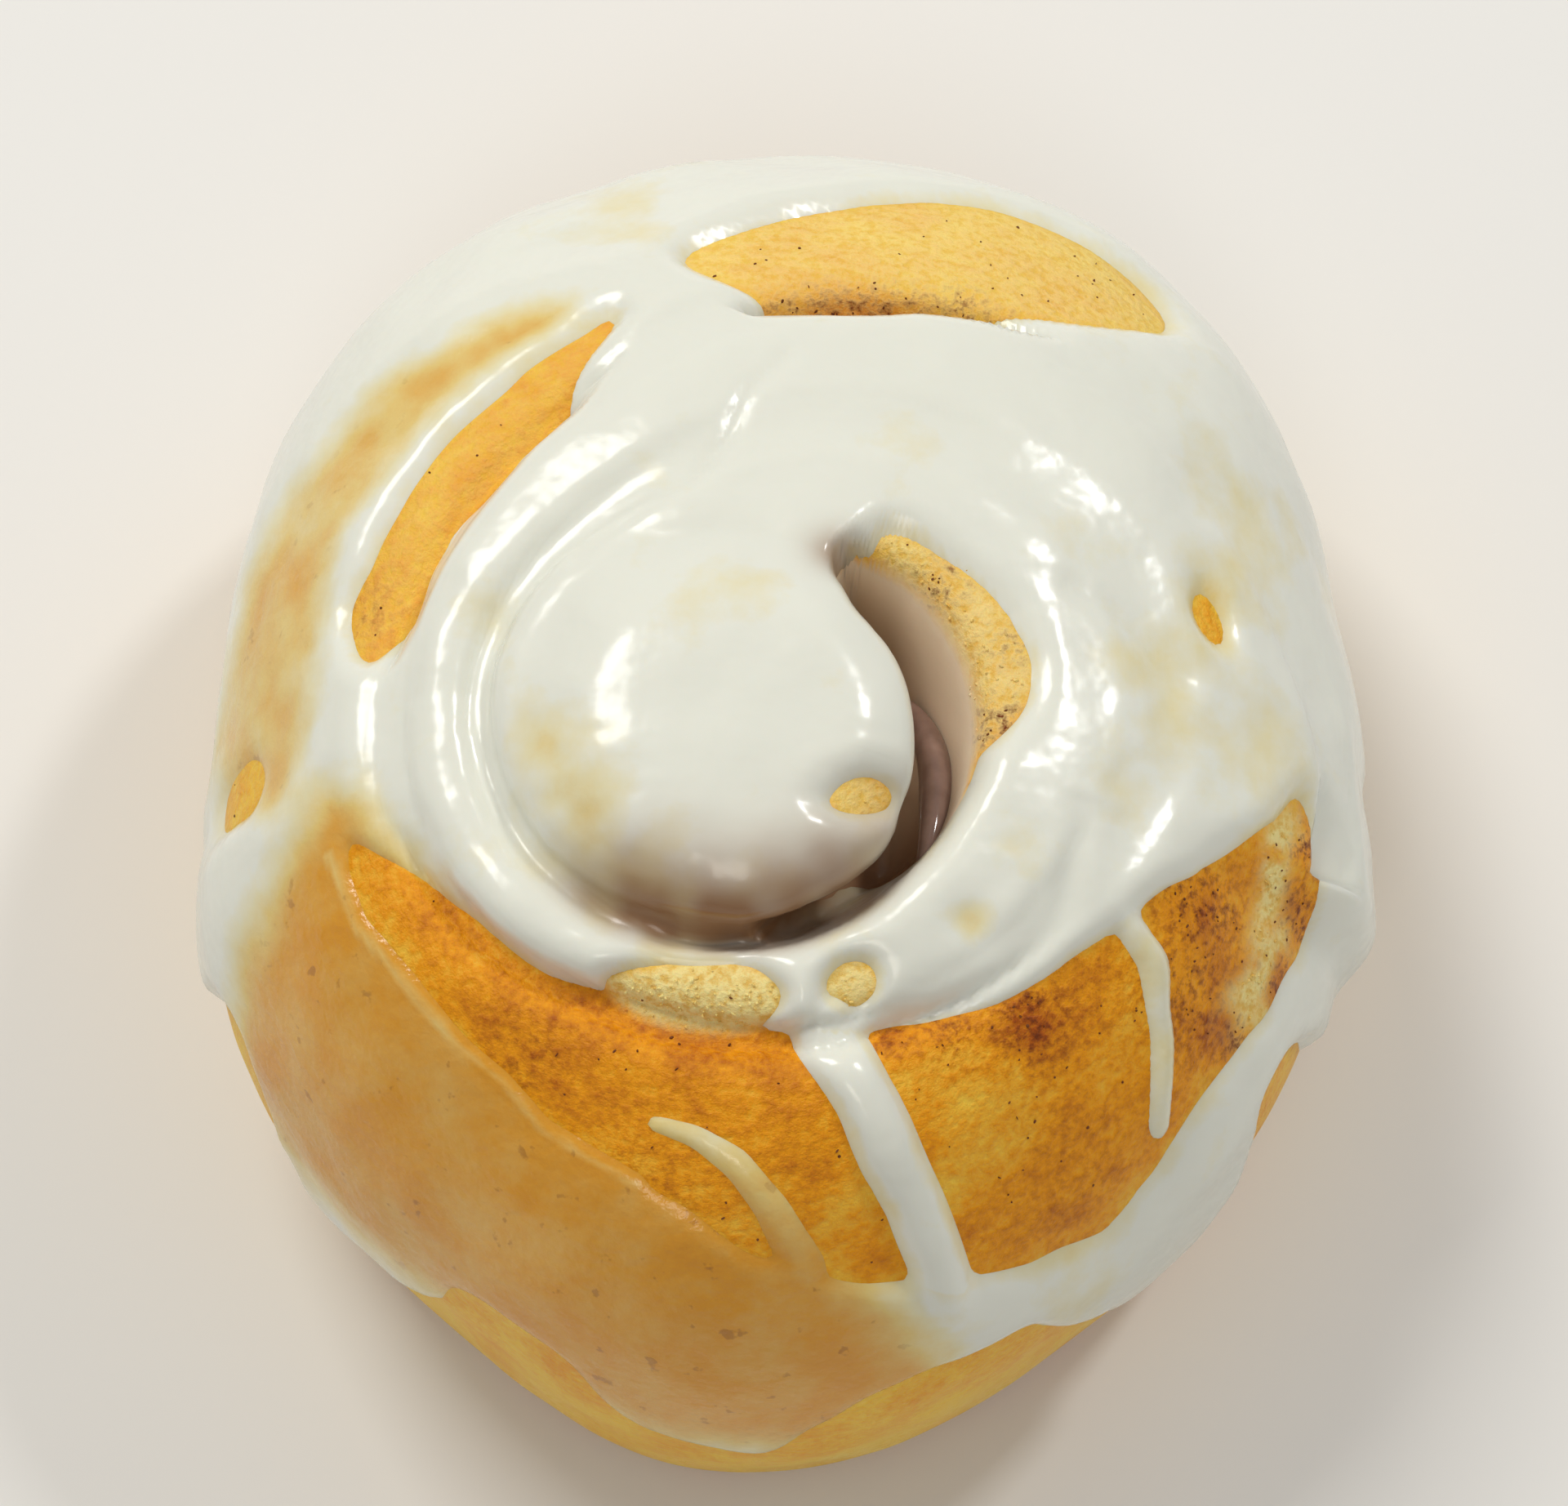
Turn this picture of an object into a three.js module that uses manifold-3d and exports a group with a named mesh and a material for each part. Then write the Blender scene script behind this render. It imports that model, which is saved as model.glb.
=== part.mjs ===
// Iced cinnamon roll, in millimetres, +Z up, standing on its flat base.
// A long strip of dough is rolled up round a layer of cinnamon filling and baked into a domed bun.
// The roll's own centre coil is the pole that all bearings and radii below are measured from.
// Bearings are degrees, anticlockwise from +X as seen from above, and the roll winds clockwise outwards.

import * as THREE from 'three';
import Module from 'manifold-3d';

// Whole bun
const bunWidth = 76;
const bunDepth = 88;
const bellyHeight = 18.5;
const domeTop = 46;
const domeRoundness = 2.05;
const shoulderRoundness = 2.65;
const coreOffsetX = -3.7;
const coreOffsetY = -7.6;
const baseTuck = 0.06;
const heelRadius = 3;

// Five soft corners round the outline, where the dough swelled
const cornerCount = 5;
const cornerSwell = 0.022;
const cornerBearing = -90;

// Centre coil, which the oven pushed up above the next turn
const coilLift = 2.6;
const coilPlateau = 6.5;
const coilEdge = 14;

// The spiral line between the turns: its radius after each eighth of a turn
const spiralStart = 65;
const spiralStep = 45;
const spiralRadii = [
  14.4, 14.2, 13, 12.4, 12.4, 13.8, 16.2, 18,
  24, 27.6, 22.2, 18.8, 17.4, 19.4, 21.8, 26.4,
  34.8, 37.4, 38.2,
];
const spiralEnd = 790;

// Groove along that line, and the deep crescent gap that opens beside the centre coil
const grooveHalf = 0.8;
const grooveDepth = 2;
const lipWidth = 2.1;
const lipDrop = 1.4;
const floorShare = 0.9;
const tailLipWidth = 0.6;
const tailLipFade = 60;
const gapHalf = 2.3;
const gapDepth = 12;
const gapFrom = -8;
const gapFull = 28;
const narrowFrom = 42;
const narrowTo = 105;
const gapFade = 130;
const gapTo = 205;
const streakAt = 716;
const streakSpread = 22;
const streakDepth = 1.6;

// Tail end of the strip, which stands proud of the turn below it
const tailBearing = -5;
const tailThickness = 2.2;
const tailBlend = 110;
const tailFace = 0.7;

// Cinnamon filling between the turns
const fillingThickness = 0.8;
const fillingBase = 2;
const slotGap = 0.3;

// Icing
const icingGap = 0.3;
const icingLift = 1.3;
const cutterLift = 4;
const skirtHeight = 25;
const skirtReach = 1.5;
const skirtRuns = [
  { bearing: 20, reach: 8, spread: 12 },
  { bearing: 57, reach: 14, spread: 13 },
  { bearing: 122, reach: 15, spread: 15 },
  { bearing: 182, reach: 10, spread: 12 },
  { bearing: 222, reach: 13, spread: 15 },
  { bearing: 268, reach: 7, spread: 12 },
  { bearing: 318, reach: 11, spread: 13 },
];
const dripThickness = 1.5;
const dripArch = [[-1, 0], [-0.85, 0.55], [-0.4, 0.93], [0.4, 0.93], [0.85, 0.55], [1, 0]];
const dripSteps = 8;
const tipSteps = 2;
const tipRound = 0.98;
const drips = [
  { from: [-70, 16.5], to: [-66, 34], width: 4.4, tip: 3.2 },
  { from: [-19, 23], to: [-38, 33.4], width: 2, tip: 1.6 },
];

// Patches of crust and crumb that the icing leaves bare, as bearing, inner radius and outer radius
const barePatches = [
  [
    [95, 36.4, 36.4], [89, 33.6, 38.7], [82, 32.2, 41.6], [75, 33, 44], [68, 34.8, 46], [60, 37.4, 47],
    [54, 40.4, 46.8], [50, 44.5, 44.5],
  ],
  [[162, 23.4, 23.4], [155, 22.6, 25.8], [140, 23.6, 27.2], [125, 24.8, 28.8], [112, 27, 30.4], [103, 31.4, 31.4]],
  [[62, 16.5, 16.5], [50, 16, 18.4], [32, 15.5, 19.4], [16, 15, 19.6], [6, 14.5, 17.6], [0, 15, 15]],
  [
    [-170, 23.6, 23.6], [-160, 21, 24], [-148, 19.4, 23], [-132, 18.6, 23], [-115, 18.4, 24.6],
    [-100, 18.4, 26], [-88, 19, 29], [-76, 19.6, 31.4], [-62, 20.4, 33], [-48, 22.4, 34.4],
    [-34, 24.8, 34.8], [-20, 27.4, 36.8], [-9, 31, 38.6], [-3, 34.4, 38.8], [2, 36.6, 36.6],
  ],
];

// Fineness
const bearingSteps = 48;
const domeLevels = 11;
const sideLevels = 3;
const heelLevels = 2;
const sweepStep = 12;
const lipSteps = 2;
const margin = 0.1;
const widestShare = 0.985;
const normalNudge = 0.004;

const turn = 360;
const quarter = Math.PI / 2;
const { clamp, degToRad, euclideanModulo, smoothstep } = THREE.MathUtils;

const wasm = await Module();
wasm.setup();

// Outline: the widest ring of the bun, as a radius from the pole

function ellipseRadius(bearing) {
  const a = bunWidth / 2;
  const b = bunDepth / 2;
  const c = Math.cos(degToRad(bearing));
  const s = Math.sin(degToRad(bearing));
  const square = (c / a) ** 2 + (s / b) ** 2;
  const slope = coreOffsetX * c / a ** 2 + coreOffsetY * s / b ** 2;
  const rest = (coreOffsetX / a) ** 2 + (coreOffsetY / b) ** 2 - 1;
  return (-slope + Math.sqrt(slope ** 2 - square * rest)) / square;
}

function outlineRadius(bearing) {
  const corner = Math.cos(degToRad(cornerCount * (bearing - cornerBearing)));
  const afterTail = euclideanModulo(tailBearing - bearing - margin, turn);
  const step = tailThickness * (1 - smoothstep(afterTail, 0, tailBlend));
  return ellipseRadius(bearing) * (1 + cornerSwell * corner) - step;
}

// Skin: one profile from the pole (level 0) over the shoulder (1) to the foot of the wall (2)

function profile(bearing, level) {
  const radius = outlineRadius(bearing);
  if (level <= 1) {
    const angle = level * quarter;
    const r = radius * Math.sin(angle) ** (2 / shoulderRoundness);
    const rise = Math.max(Math.cos(angle), 0) ** (2 / domeRoundness);
    const lift = coilLift * (1 - smoothstep(r, coilPlateau, coilEdge));
    return new THREE.Vector2(r, bellyHeight + (domeTop - bellyHeight) * rise + lift);
  }
  const drop = level - 1;
  const z = bellyHeight * (1 - drop);
  const heel = Math.max(1 - z / heelRadius, 0);
  const inset = heelRadius * (1 - Math.sqrt(1 - heel ** 2));
  return new THREE.Vector2(radius * (1 - baseTuck * drop ** 2) - inset, z);
}

function turned(section, bearing) {
  const angle = degToRad(bearing);
  return section.map((p) => new THREE.Vector3(p.x * Math.cos(angle), p.x * Math.sin(angle), p.y));
}

function skinSection(bearing, level, lift) {
  const here = profile(bearing, level);
  const before = profile(bearing, Math.max(level - normalNudge, 0));
  const after = profile(bearing, Math.min(level + normalNudge, 2));
  const along = after.sub(before).normalize();
  return new THREE.Vector2(here.x - along.y * lift, here.y + along.x * lift);
}

function skinPoint(bearing, level, lift) {
  return turned([skinSection(bearing, level, lift)], bearing)[0];
}

function levelAtRadius(bearing, r) {
  const share = clamp(r / outlineRadius(bearing), 0, widestShare);
  return Math.asin(share ** (shoulderRoundness / 2)) / quarter;
}

// Solids from grids and from swept sections

function toSolid(points, triangles) {
  const vertProperties = new Float32Array(points.flatMap((p) => [p.x, p.y, p.z]));
  const volume = triangles.reduce((sum, [a, b, c]) => {
    return sum + points[a].dot(points[b].clone().cross(points[c]));
  }, 0);
  const outward = volume > 0 ? triangles : triangles.map(([a, b, c]) => [a, c, b]);
  const triVerts = new Uint32Array(outward.flat());
  return new wasm.Manifold(new wasm.Mesh({ numProp: 3, vertProperties, triVerts }));
}

function closedGrid(topPoint, rings, bottomPoint) {
  const points = [topPoint, ...rings.flat(), bottomPoint];
  const count = rings[0].length;
  const last = points.length - 1;
  const triangles = [];
  for (let j = 0; j < count; j += 1) {
    const next = (j + 1) % count;
    triangles.push([0, 1 + j, 1 + next]);
    for (let i = 0; i + 1 < rings.length; i += 1) {
      const upper = 1 + i * count;
      const lower = upper + count;
      triangles.push([upper + j, lower + j, lower + next]);
      triangles.push([upper + j, lower + next, upper + next]);
    }
    const foot = last - count;
    triangles.push([last, foot + next, foot + j]);
  }
  return toSolid(points, triangles);
}

function capTriangles(outline) {
  const winding = Math.sign(THREE.ShapeUtils.area(outline));
  return THREE.ShapeUtils.triangulateShape(outline, []).map(([a, b, c]) => {
    const same = Math.sign(THREE.ShapeUtils.area([outline[a], outline[b], outline[c]])) === winding;
    return same ? [a, b, c] : [a, c, b];
  });
}

function sweep(sections, firstOutline, lastOutline) {
  const size = firstOutline.length;
  const triangles = capTriangles(firstOutline).map(([a, b, c]) => [a, c, b]);
  for (let i = 0; i + 1 < sections.length; i += 1) {
    for (let k = 0; k < size; k += 1) {
      const a = i * size + k;
      const b = i * size + (k + 1) % size;
      triangles.push([a, b, b + size]);
      triangles.push([a, b + size, a + size]);
    }
  }
  const end = (sections.length - 1) * size;
  for (const [a, b, c] of capTriangles(lastOutline)) {
    triangles.push([end + a, end + b, end + c]);
  }
  return toSolid(sections.flat(), triangles);
}

// Bearings of the grid's columns, with a close pair at the strip's tail end

function columnBearings() {
  const columns = [tailBearing, tailBearing - tailFace];
  const step = turn / bearingSteps;
  for (let i = 1; i < bearingSteps; i += 1) {
    columns.push(tailBearing + i * step);
  }
  return columns.sort((a, b) => a - b);
}

// The bun, offset outwards by lift

function bun(lift) {
  const columns = columnBearings();
  const levels = [];
  for (let i = 1; i <= domeLevels; i += 1) {
    levels.push(i / domeLevels);
  }
  const heelLevel = 2 - heelRadius / bellyHeight;
  for (let i = 1; i <= sideLevels; i += 1) {
    levels.push(1 + (heelLevel - 1) * i / sideLevels);
  }
  for (let i = 1; i <= heelLevels; i += 1) {
    levels.push(heelLevel + (2 - heelLevel) * i / heelLevels);
  }
  const rings = levels.map((level) => columns.map((bearing) => {
    const point = skinPoint(bearing, level, lift);
    point.z = level === 2 ? -lift : point.z;
    return point;
  }));
  return closedGrid(skinPoint(0, 0, lift), rings, new THREE.Vector3(0, 0, -lift));
}

// The spiral line

function spiralRadius(angle) {
  const place = clamp(angle / spiralStep, 0, spiralRadii.length - 1);
  const i = Math.min(Math.floor(place), spiralRadii.length - 2);
  const t = place - i;
  const knot = (k) => spiralRadii[clamp(k, 0, spiralRadii.length - 1)];
  const slopeA = (knot(i + 1) - knot(i - 1)) / 2;
  const slopeB = (knot(i + 2) - knot(i)) / 2;
  const a = (1 + 2 * t) * (1 - t) ** 2 * knot(i) + t * (1 - t) ** 2 * slopeA;
  const b = t ** 2 * (3 - 2 * t) * knot(i + 1) + t ** 2 * (t - 1) * slopeB;
  return a + b;
}

function grooveSizes(angle) {
  const opens = smoothstep(angle, gapFrom, gapFull);
  const gap = opens * (1 - smoothstep(angle, gapFade, gapTo));
  const wide = opens * (1 - smoothstep(angle, narrowFrom, narrowTo));
  const streak = Math.exp(-(((angle - streakAt) / streakSpread) ** 2));
  const tail = smoothstep(angle, spiralEnd - tailLipFade, spiralEnd);
  return {
    half: grooveHalf + (gapHalf - grooveHalf) * wide,
    depth: grooveDepth + (gapDepth - grooveDepth) * gap + streakDepth * streak,
    lip: lipWidth + (tailLipWidth - lipWidth) * tail,
  };
}

// Where the groove's lips end and its upright walls begin: a height over the radius of the spiral

function grooveRoot(angle) {
  const bearing = spiralStart - angle;
  const { half } = grooveSizes(angle);
  const [inner, middle, outer] = [-half, 0, half].map((x) => {
    return skinSection(bearing, levelAtRadius(bearing, spiralRadius(angle) + x), -lipDrop);
  });
  return new THREE.Vector2(middle.x, Math.min(inner.y, middle.y, outer.y));
}

function grooveFloor(angle) {
  return grooveRoot(angle).y - (grooveSizes(angle).depth - lipDrop);
}

// Cross-section of the groove in the upright plane through the pole: round lips, then straight walls.
// grow is how far the section's walls stand off the dough's own.

function grooveSection(angle, grow) {
  const bearing = spiralStart - angle;
  const { half, lip } = grooveSizes(angle);
  const edge = half + lip - grow / 2;
  const curl = lip + grow / 2;
  const reach = Math.min(1, (edge - margin) / curl);
  const steepest = Math.asin(reach);
  const side = [[edge + margin, grow + cutterLift]];
  for (let i = 0; i <= lipSteps; i += 1) {
    const a = steepest * i / lipSteps;
    side.push([edge - curl * Math.sin(a), grow - (lipDrop + grow) * (1 - Math.cos(a))]);
  }
  const place = ([x, lift]) => {
    return skinSection(bearing, levelAtRadius(bearing, spiralRadius(angle) + x), lift);
  };
  const inner = side.map(([x, lift]) => place([-x, lift]));
  const outer = side.map(place).reverse();
  const lips = [inner[lipSteps + 1], outer[0]];
  const meets = reach < 1;
  const middle = meets ? (lips[0].x + lips[1].x) / 2 : grooveRoot(angle).x;
  const foot = (meets ? (lips[1].x - lips[0].x) / 2 : half - grow) * floorShare;
  const floor = meets ? Math.min(lips[0].y, lips[1].y) - margin : grooveFloor(angle) + grow;
  const feet = [middle - foot, middle + foot].map((r) => new THREE.Vector2(r, floor));
  return [...inner, ...feet, ...outer];
}

function alongSpiral(from, to, sectionAt) {
  const steps = Math.ceil((to - from) / sweepStep);
  const outlines = [];
  for (let i = 0; i <= steps; i += 1) {
    outlines.push(sectionAt(from + (to - from) * i / steps));
  }
  const sections = outlines.map((outline, i) => {
    return turned(outline, spiralStart - (from + (to - from) * i / steps));
  });
  return sweep(sections, outlines[0], outlines[steps]);
}

function cutGrooves(solid, grow) {
  const firstTurn = alongSpiral(0, turn, (angle) => grooveSection(angle, grow));
  const secondTurn = alongSpiral(turn, spiralEnd, (angle) => grooveSection(angle, grow));
  return solid.subtract(firstTurn).subtract(secondTurn);
}

// An upright ribbon along the spiral, from a flat foot up to the groove's floor

function ribbon(half, foot, rise) {
  const section = (angle) => {
    const { x } = grooveRoot(angle);
    const top = grooveFloor(angle) + rise;
    const corners = [[x - half, foot], [x + half, foot], [x + half, top], [x - half, top]];
    return corners.map(([r, z]) => new THREE.Vector2(r, z));
  };
  return alongSpiral(0, turn, section).add(alongSpiral(turn, spiralEnd, section));
}

// Icing: a skin that ends in a wavy skirt

function skirtEdge(bearing) {
  const runs = skirtRuns.reduce((sum, run) => {
    const away = euclideanModulo(bearing - run.bearing + turn / 2, turn) - turn / 2;
    return sum + run.reach * Math.exp(-((away / run.spread) ** 4));
  }, 0);
  return skirtHeight - runs;
}

function aboveSkirt() {
  const columns = columnBearings();
  const stretch = (height) => bellyHeight + (height - bellyHeight) * skirtReach;
  const wall = (heightAt) => columns.map((bearing) => {
    const r = outlineRadius(bearing) * skirtReach;
    return turned([new THREE.Vector2(r, stretch(heightAt(bearing)))], bearing)[0];
  });
  const top = domeTop + cutterLift;
  const foot = new THREE.Vector3(0, 0, bellyHeight);
  return closedGrid(new THREE.Vector3(0, 0, stretch(top)), [wall(() => top), wall(skirtEdge)], foot);
}

function along(from, to, share) {
  return from.map((value, i) => value + (to[i] - value) * share);
}

function dripSolid({ from, to, width, tip }) {
  const sections = [];
  for (let i = 0; i <= dripSteps; i += 1) {
    const share = i / dripSteps;
    const [bearing, r] = along(from, to, share);
    const intoTip = Math.max(i - dripSteps + tipSteps, 0) / tipSteps;
    const round = Math.sqrt(1 - (tipRound * intoTip) ** 2);
    const half = (width + (tip - width) * share) / 2 * round;
    sections.push(dripArch.map(([x, z]) => {
      const lift = icingGap + (dripThickness - icingGap) * z * round;
      return skinPoint(bearing + x * half / degToRad(r), levelAtRadius(bearing, r), lift);
    }));
  }
  const outline = dripArch.map(([x, z]) => new THREE.Vector2(x, z));
  return sweep(sections, outline, outline);
}

function patchPrism(rows) {
  const place = (bearing, r) => {
    return new THREE.Vector2(r * Math.cos(degToRad(bearing)), r * Math.sin(degToRad(bearing)));
  };
  const outer = rows.map(([bearing, , r]) => place(bearing, r));
  const inner = rows.slice(1, -1).map(([bearing, r]) => place(bearing, r));
  const outline = [...outer, ...inner.reverse()];
  const layers = [bellyHeight, domeTop + cutterLift].map((z) => {
    return outline.map((p) => new THREE.Vector3(p.x, p.y, z));
  });
  return sweep(layers, outline, outline);
}

// Cutting can leave loose crumbs of a triangle or two, which are dropped

function mainBody(solid) {
  const bodies = solid.decompose();
  return bodies.reduce((best, body) => (body.volume() > best.volume() ? body : best));
}

// The three pieces

function makeDough() {
  const slot = ribbon(fillingThickness / 2 + slotGap, fillingBase - slotGap, grooveDepth);
  return mainBody(cutGrooves(bun(0), 0).subtract(slot));
}

function makeFilling() {
  return ribbon(fillingThickness / 2, fillingBase, 0);
}

function makeIcing() {
  const gapWalls = (angle) => {
    const { x, y } = grooveRoot(angle);
    const clear = grooveSizes(angle).half + icingGap;
    const top = y + lipDrop + cutterLift;
    const foot = grooveFloor(angle);
    const corners = [[x - clear, foot], [x + clear, foot], [x + clear, top], [x - clear, top]];
    return corners.map(([r, z]) => new THREE.Vector2(r, z));
  };
  let icing = cutGrooves(bun(icingLift).intersect(aboveSkirt()), icingLift);
  icing = icing.subtract(alongSpiral(-sweepStep / 2, gapTo - sweepStep, gapWalls));
  for (const patch of barePatches) {
    icing = icing.subtract(patchPrism(patch));
  }
  for (const drip of drips) {
    icing = icing.add(dripSolid(drip));
  }
  return mainBody(icing.subtract(cutGrooves(bun(icingGap), icingGap)));
}

// Scene graph

function toGeometry(solid) {
  const mesh = solid.getMesh();
  const geometry = new THREE.BufferGeometry();
  geometry.setAttribute('position', new THREE.BufferAttribute(mesh.vertProperties, mesh.numProp));
  geometry.setIndex(new THREE.BufferAttribute(mesh.triVerts, 1));
  geometry.computeBoundingBox();
  return geometry;
}

function piece(name, solid, color, roughness) {
  const material = new THREE.MeshStandardMaterial({ color, roughness, metalness: 0 });
  const mesh = new THREE.Mesh(toGeometry(solid), material);
  mesh.name = name;
  return mesh;
}

const group = new THREE.Group();
group.add(piece('dough', makeDough(), 0xd79a3c, 0.7));
group.add(piece('filling', makeFilling(), 0x5a2e12, 0.55));
group.add(piece('icing', makeIcing(), 0xf1eee4, 0.28));

const box = new THREE.Box3().setFromObject(group);
group.position.set(-(box.min.x + box.max.x) / 2, -(box.min.y + box.max.y) / 2, 0);

export default group;
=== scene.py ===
# %% [markdown]
# # An iced cinnamon roll
# A cinnamon roll is a long strip of soft dough, spread with cinnamon sugar, rolled up and baked standing on
# its flat side. Warm white icing is then poured over it. This lesson rebuilds one roll as three main
# pieces: the baked dough, the thin dark filling between its turns, and the icing that covers the top and
# runs down the sides. A strand of set syrup, loose grains of cinnamon and a few crumbs finish it.

# %% Load the frame
import math

import bpy
import numpy as np
from mathutils import Matrix, Vector


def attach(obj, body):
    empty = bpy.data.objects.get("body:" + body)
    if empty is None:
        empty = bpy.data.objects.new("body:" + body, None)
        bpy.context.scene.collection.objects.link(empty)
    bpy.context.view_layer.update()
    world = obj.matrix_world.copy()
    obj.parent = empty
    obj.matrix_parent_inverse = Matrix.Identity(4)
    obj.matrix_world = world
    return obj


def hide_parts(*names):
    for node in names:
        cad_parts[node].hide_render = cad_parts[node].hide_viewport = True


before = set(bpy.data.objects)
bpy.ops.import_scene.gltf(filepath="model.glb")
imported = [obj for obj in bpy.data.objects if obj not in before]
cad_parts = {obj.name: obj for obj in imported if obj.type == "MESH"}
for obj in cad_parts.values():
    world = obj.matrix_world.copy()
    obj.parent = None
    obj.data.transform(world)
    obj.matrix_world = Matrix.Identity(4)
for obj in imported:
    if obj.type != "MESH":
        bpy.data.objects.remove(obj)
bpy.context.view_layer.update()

# %% [markdown]
# ## Numbers first
# All shapes below are worked out in millimetres, measured from the centre of the coil, which is called the
# pole. A bearing is an angle in degrees, anticlockwise from +X as seen from above. Blender wants metres,
# and the roll stands with its footprint centred on the origin, so one last step moves and scales every
# mesh.

# %% Helpers for numbers
MM = 0.001
POLE = np.array([-3.543, -6.363])


def ramp(x, low, high):
    """Rises smoothly from 0 at low to 1 at high."""
    t = np.clip((np.asarray(x, float) - low) / (high - low), 0, 1)
    return t * t * (3 - 2 * t)


def blend(a, b, share):
    """From a at a share of 0 to b at a share of 1."""
    return a + (b - a) * share


def lumps(x, y, z, size, seed):
    """Smooth noise from -1 to 1, whose lumps are about one size across, in millimetres."""
    cells = 32
    lattice = np.random.default_rng(seed).uniform(-1, 1, (cells, cells, cells))
    place = [np.asarray(v, float) / size + 100.5 for v in (x, y, z)]
    base = [np.floor(v).astype(int) for v in place]
    part = [v - b for v, b in zip(place, base)]
    part = [t * t * (3 - 2 * t) for t in part]
    total = 0
    for corner in np.ndindex(2, 2, 2):
        weight = 1
        for t, c in zip(part, corner):
            weight = weight * (t if c else 1 - t)
        i, j, k = [(b + c) % cells for b, c in zip(base, corner)]
        total = total + weight * lattice[i, j, k]
    return total


def plan(bearing, r):
    """A bearing and a radius as x and y."""
    angle = np.radians(bearing)
    return r * np.cos(angle), r * np.sin(angle)


def curve_between(before, here, after, later, t):
    """A smooth curve from here at a t of 0 to after at 1, whose slopes follow the points on either side."""
    start = (1 + 2 * t) * (1 - t) ** 2 * here + t * (1 - t) ** 2 * (after - before) / 2
    return start + t * t * (3 - 2 * t) * after + t * t * (t - 1) * (later - here) / 2


def bearing_from(centre, bearing):
    """How far a bearing lies from another one, from -180 to 180 degrees."""
    return np.mod(bearing - centre + 180, 360) - 180


def spot_at(x, y, bearing, r, reach):
    """1 at a place given by bearing and radius, fading to 0 round it."""
    cx, cy = plan(bearing, r)
    return np.exp(-((x - cx) ** 2 + (y - cy) ** 2) / reach ** 2)


def to_frame(x, y, z):
    """Points in metres in the frame of the finished roll, from millimetres round the pole."""
    return np.stack([(x + POLE[0]) * MM, (y + POLE[1]) * MM, z * MM], -1)


print("pole, mm:", POLE)

# %% [markdown]
# ## The bun's skin
# The dough swells unevenly in the oven, so the outline is an oval with five soft corners. From the pole the
# skin runs over a broad dome, turns down at the shoulder and drops as an upright wall to a round heel. One
# number, the level, runs along that path: 0 at the pole, 1 at the shoulder, 2 at the foot of the wall and 3
# at the middle of the flat base. The loose end of the strip stands proud as a small step on the right.

# %% Skin of the bun
WIDTH, DEPTH = 76.0, 88.0
BELLY, DOME = 18.5, 46.0
DOME_ROUND, SHOULDER_ROUND = 2.05, 2.65
OFFSET = (-3.7, -7.6)
COIL_LIFT, COIL_PLATEAU, COIL_EDGE = 2.6, 7.4, 14.0
CORNERS, CORNER_SWELL = 5, 0.022
HEEL, FOOT_TUCK = 3.0, 0.06
TAIL_BEARING, TAIL_STEP, TAIL_FACE, TAIL_BLEND = -4.0, 2.0, 7.0, 110.0
TAIL_FADE_FROM, TAIL_FADE_TO = 0.6, 0.88
SKIN_NUDGE = 0.006


def outline_radius(bearing, share=1.0):
    """Widest radius at a bearing; share is how far out on the dome, as the step fades towards the pole."""
    half_x, half_y = WIDTH / 2, DEPTH / 2
    c, s = np.cos(np.radians(bearing)), np.sin(np.radians(bearing))
    square = (c / half_x) ** 2 + (s / half_y) ** 2
    slope = OFFSET[0] * c / half_x ** 2 + OFFSET[1] * s / half_y ** 2
    rest = (OFFSET[0] / half_x) ** 2 + (OFFSET[1] / half_y) ** 2 - 1
    ellipse = (-slope + np.sqrt(slope ** 2 - square * rest)) / square
    corners = 1 + CORNER_SWELL * np.cos(np.radians(CORNERS * (bearing + 90)))
    after_tail = np.mod(TAIL_BEARING - bearing, 360)
    step = TAIL_STEP * ramp(after_tail, 0, TAIL_FACE) * (1 - ramp(after_tail, TAIL_FACE, TAIL_BLEND))
    step = step * ramp(share, TAIL_FADE_FROM, TAIL_FADE_TO)
    return ellipse * corners - step


def skin_path(bearing, level):
    """Radius and height of the plain skin at a bearing and a level."""
    on_dome = np.clip(level, 0, 1) * math.pi / 2
    share = np.sin(on_dome) ** (2 / SHOULDER_ROUND)
    radius = outline_radius(bearing, share)
    rise = np.clip(np.cos(on_dome), 0, 1) ** (2 / DOME_ROUND)
    r = radius * share
    z = BELLY + (DOME - BELLY) * rise
    z = z + COIL_LIFT * (1 - ramp(r, COIL_PLATEAU, COIL_EDGE))
    drop = np.clip(level - 1, 0, 1)
    wall_z = BELLY * (1 - drop)
    heel = np.clip(1 - wall_z / HEEL, 0, 1)
    wall_r = radius * (1 - FOOT_TUCK * drop ** 2) - HEEL * (1 - np.sqrt(1 - heel ** 2))
    r = np.where(level > 1, wall_r, r)
    z = np.where(level > 1, wall_z, z)
    return np.where(level > 2, wall_r * (3 - level), r), np.where(level > 2, 0, z)


def skin(bearing, level):
    """Radius, height and the outward direction (its radial and upright parts) of the plain skin."""
    r, z = skin_path(bearing, level)
    r0, z0 = skin_path(bearing, np.clip(level - SKIN_NUDGE, 0, 3))
    r1, z1 = skin_path(bearing, np.clip(level + SKIN_NUDGE, 0, 3))
    length = np.maximum(np.hypot(r1 - r0, z1 - z0), 1e-9)
    return r, z, -(z1 - z0) / length, (r1 - r0) / length


print("reach right and back, mm:", outline_radius(0.0).round(1), outline_radius(90.0).round(1))

# %% [markdown]
# ## The spiral
# The turns of the strip meet along one spiral line. Baking pulls them apart unevenly, so the line is not a
# mathematical spiral: it is given by its radius after each eighth of a turn, with a smooth curve between.
# Beside the centre coil the turns have torn open into a deep crescent gap, which narrows to a crevice round
# the front. Elsewhere the groove is shallow, and each of its edges is rounded into a lip.

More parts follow.
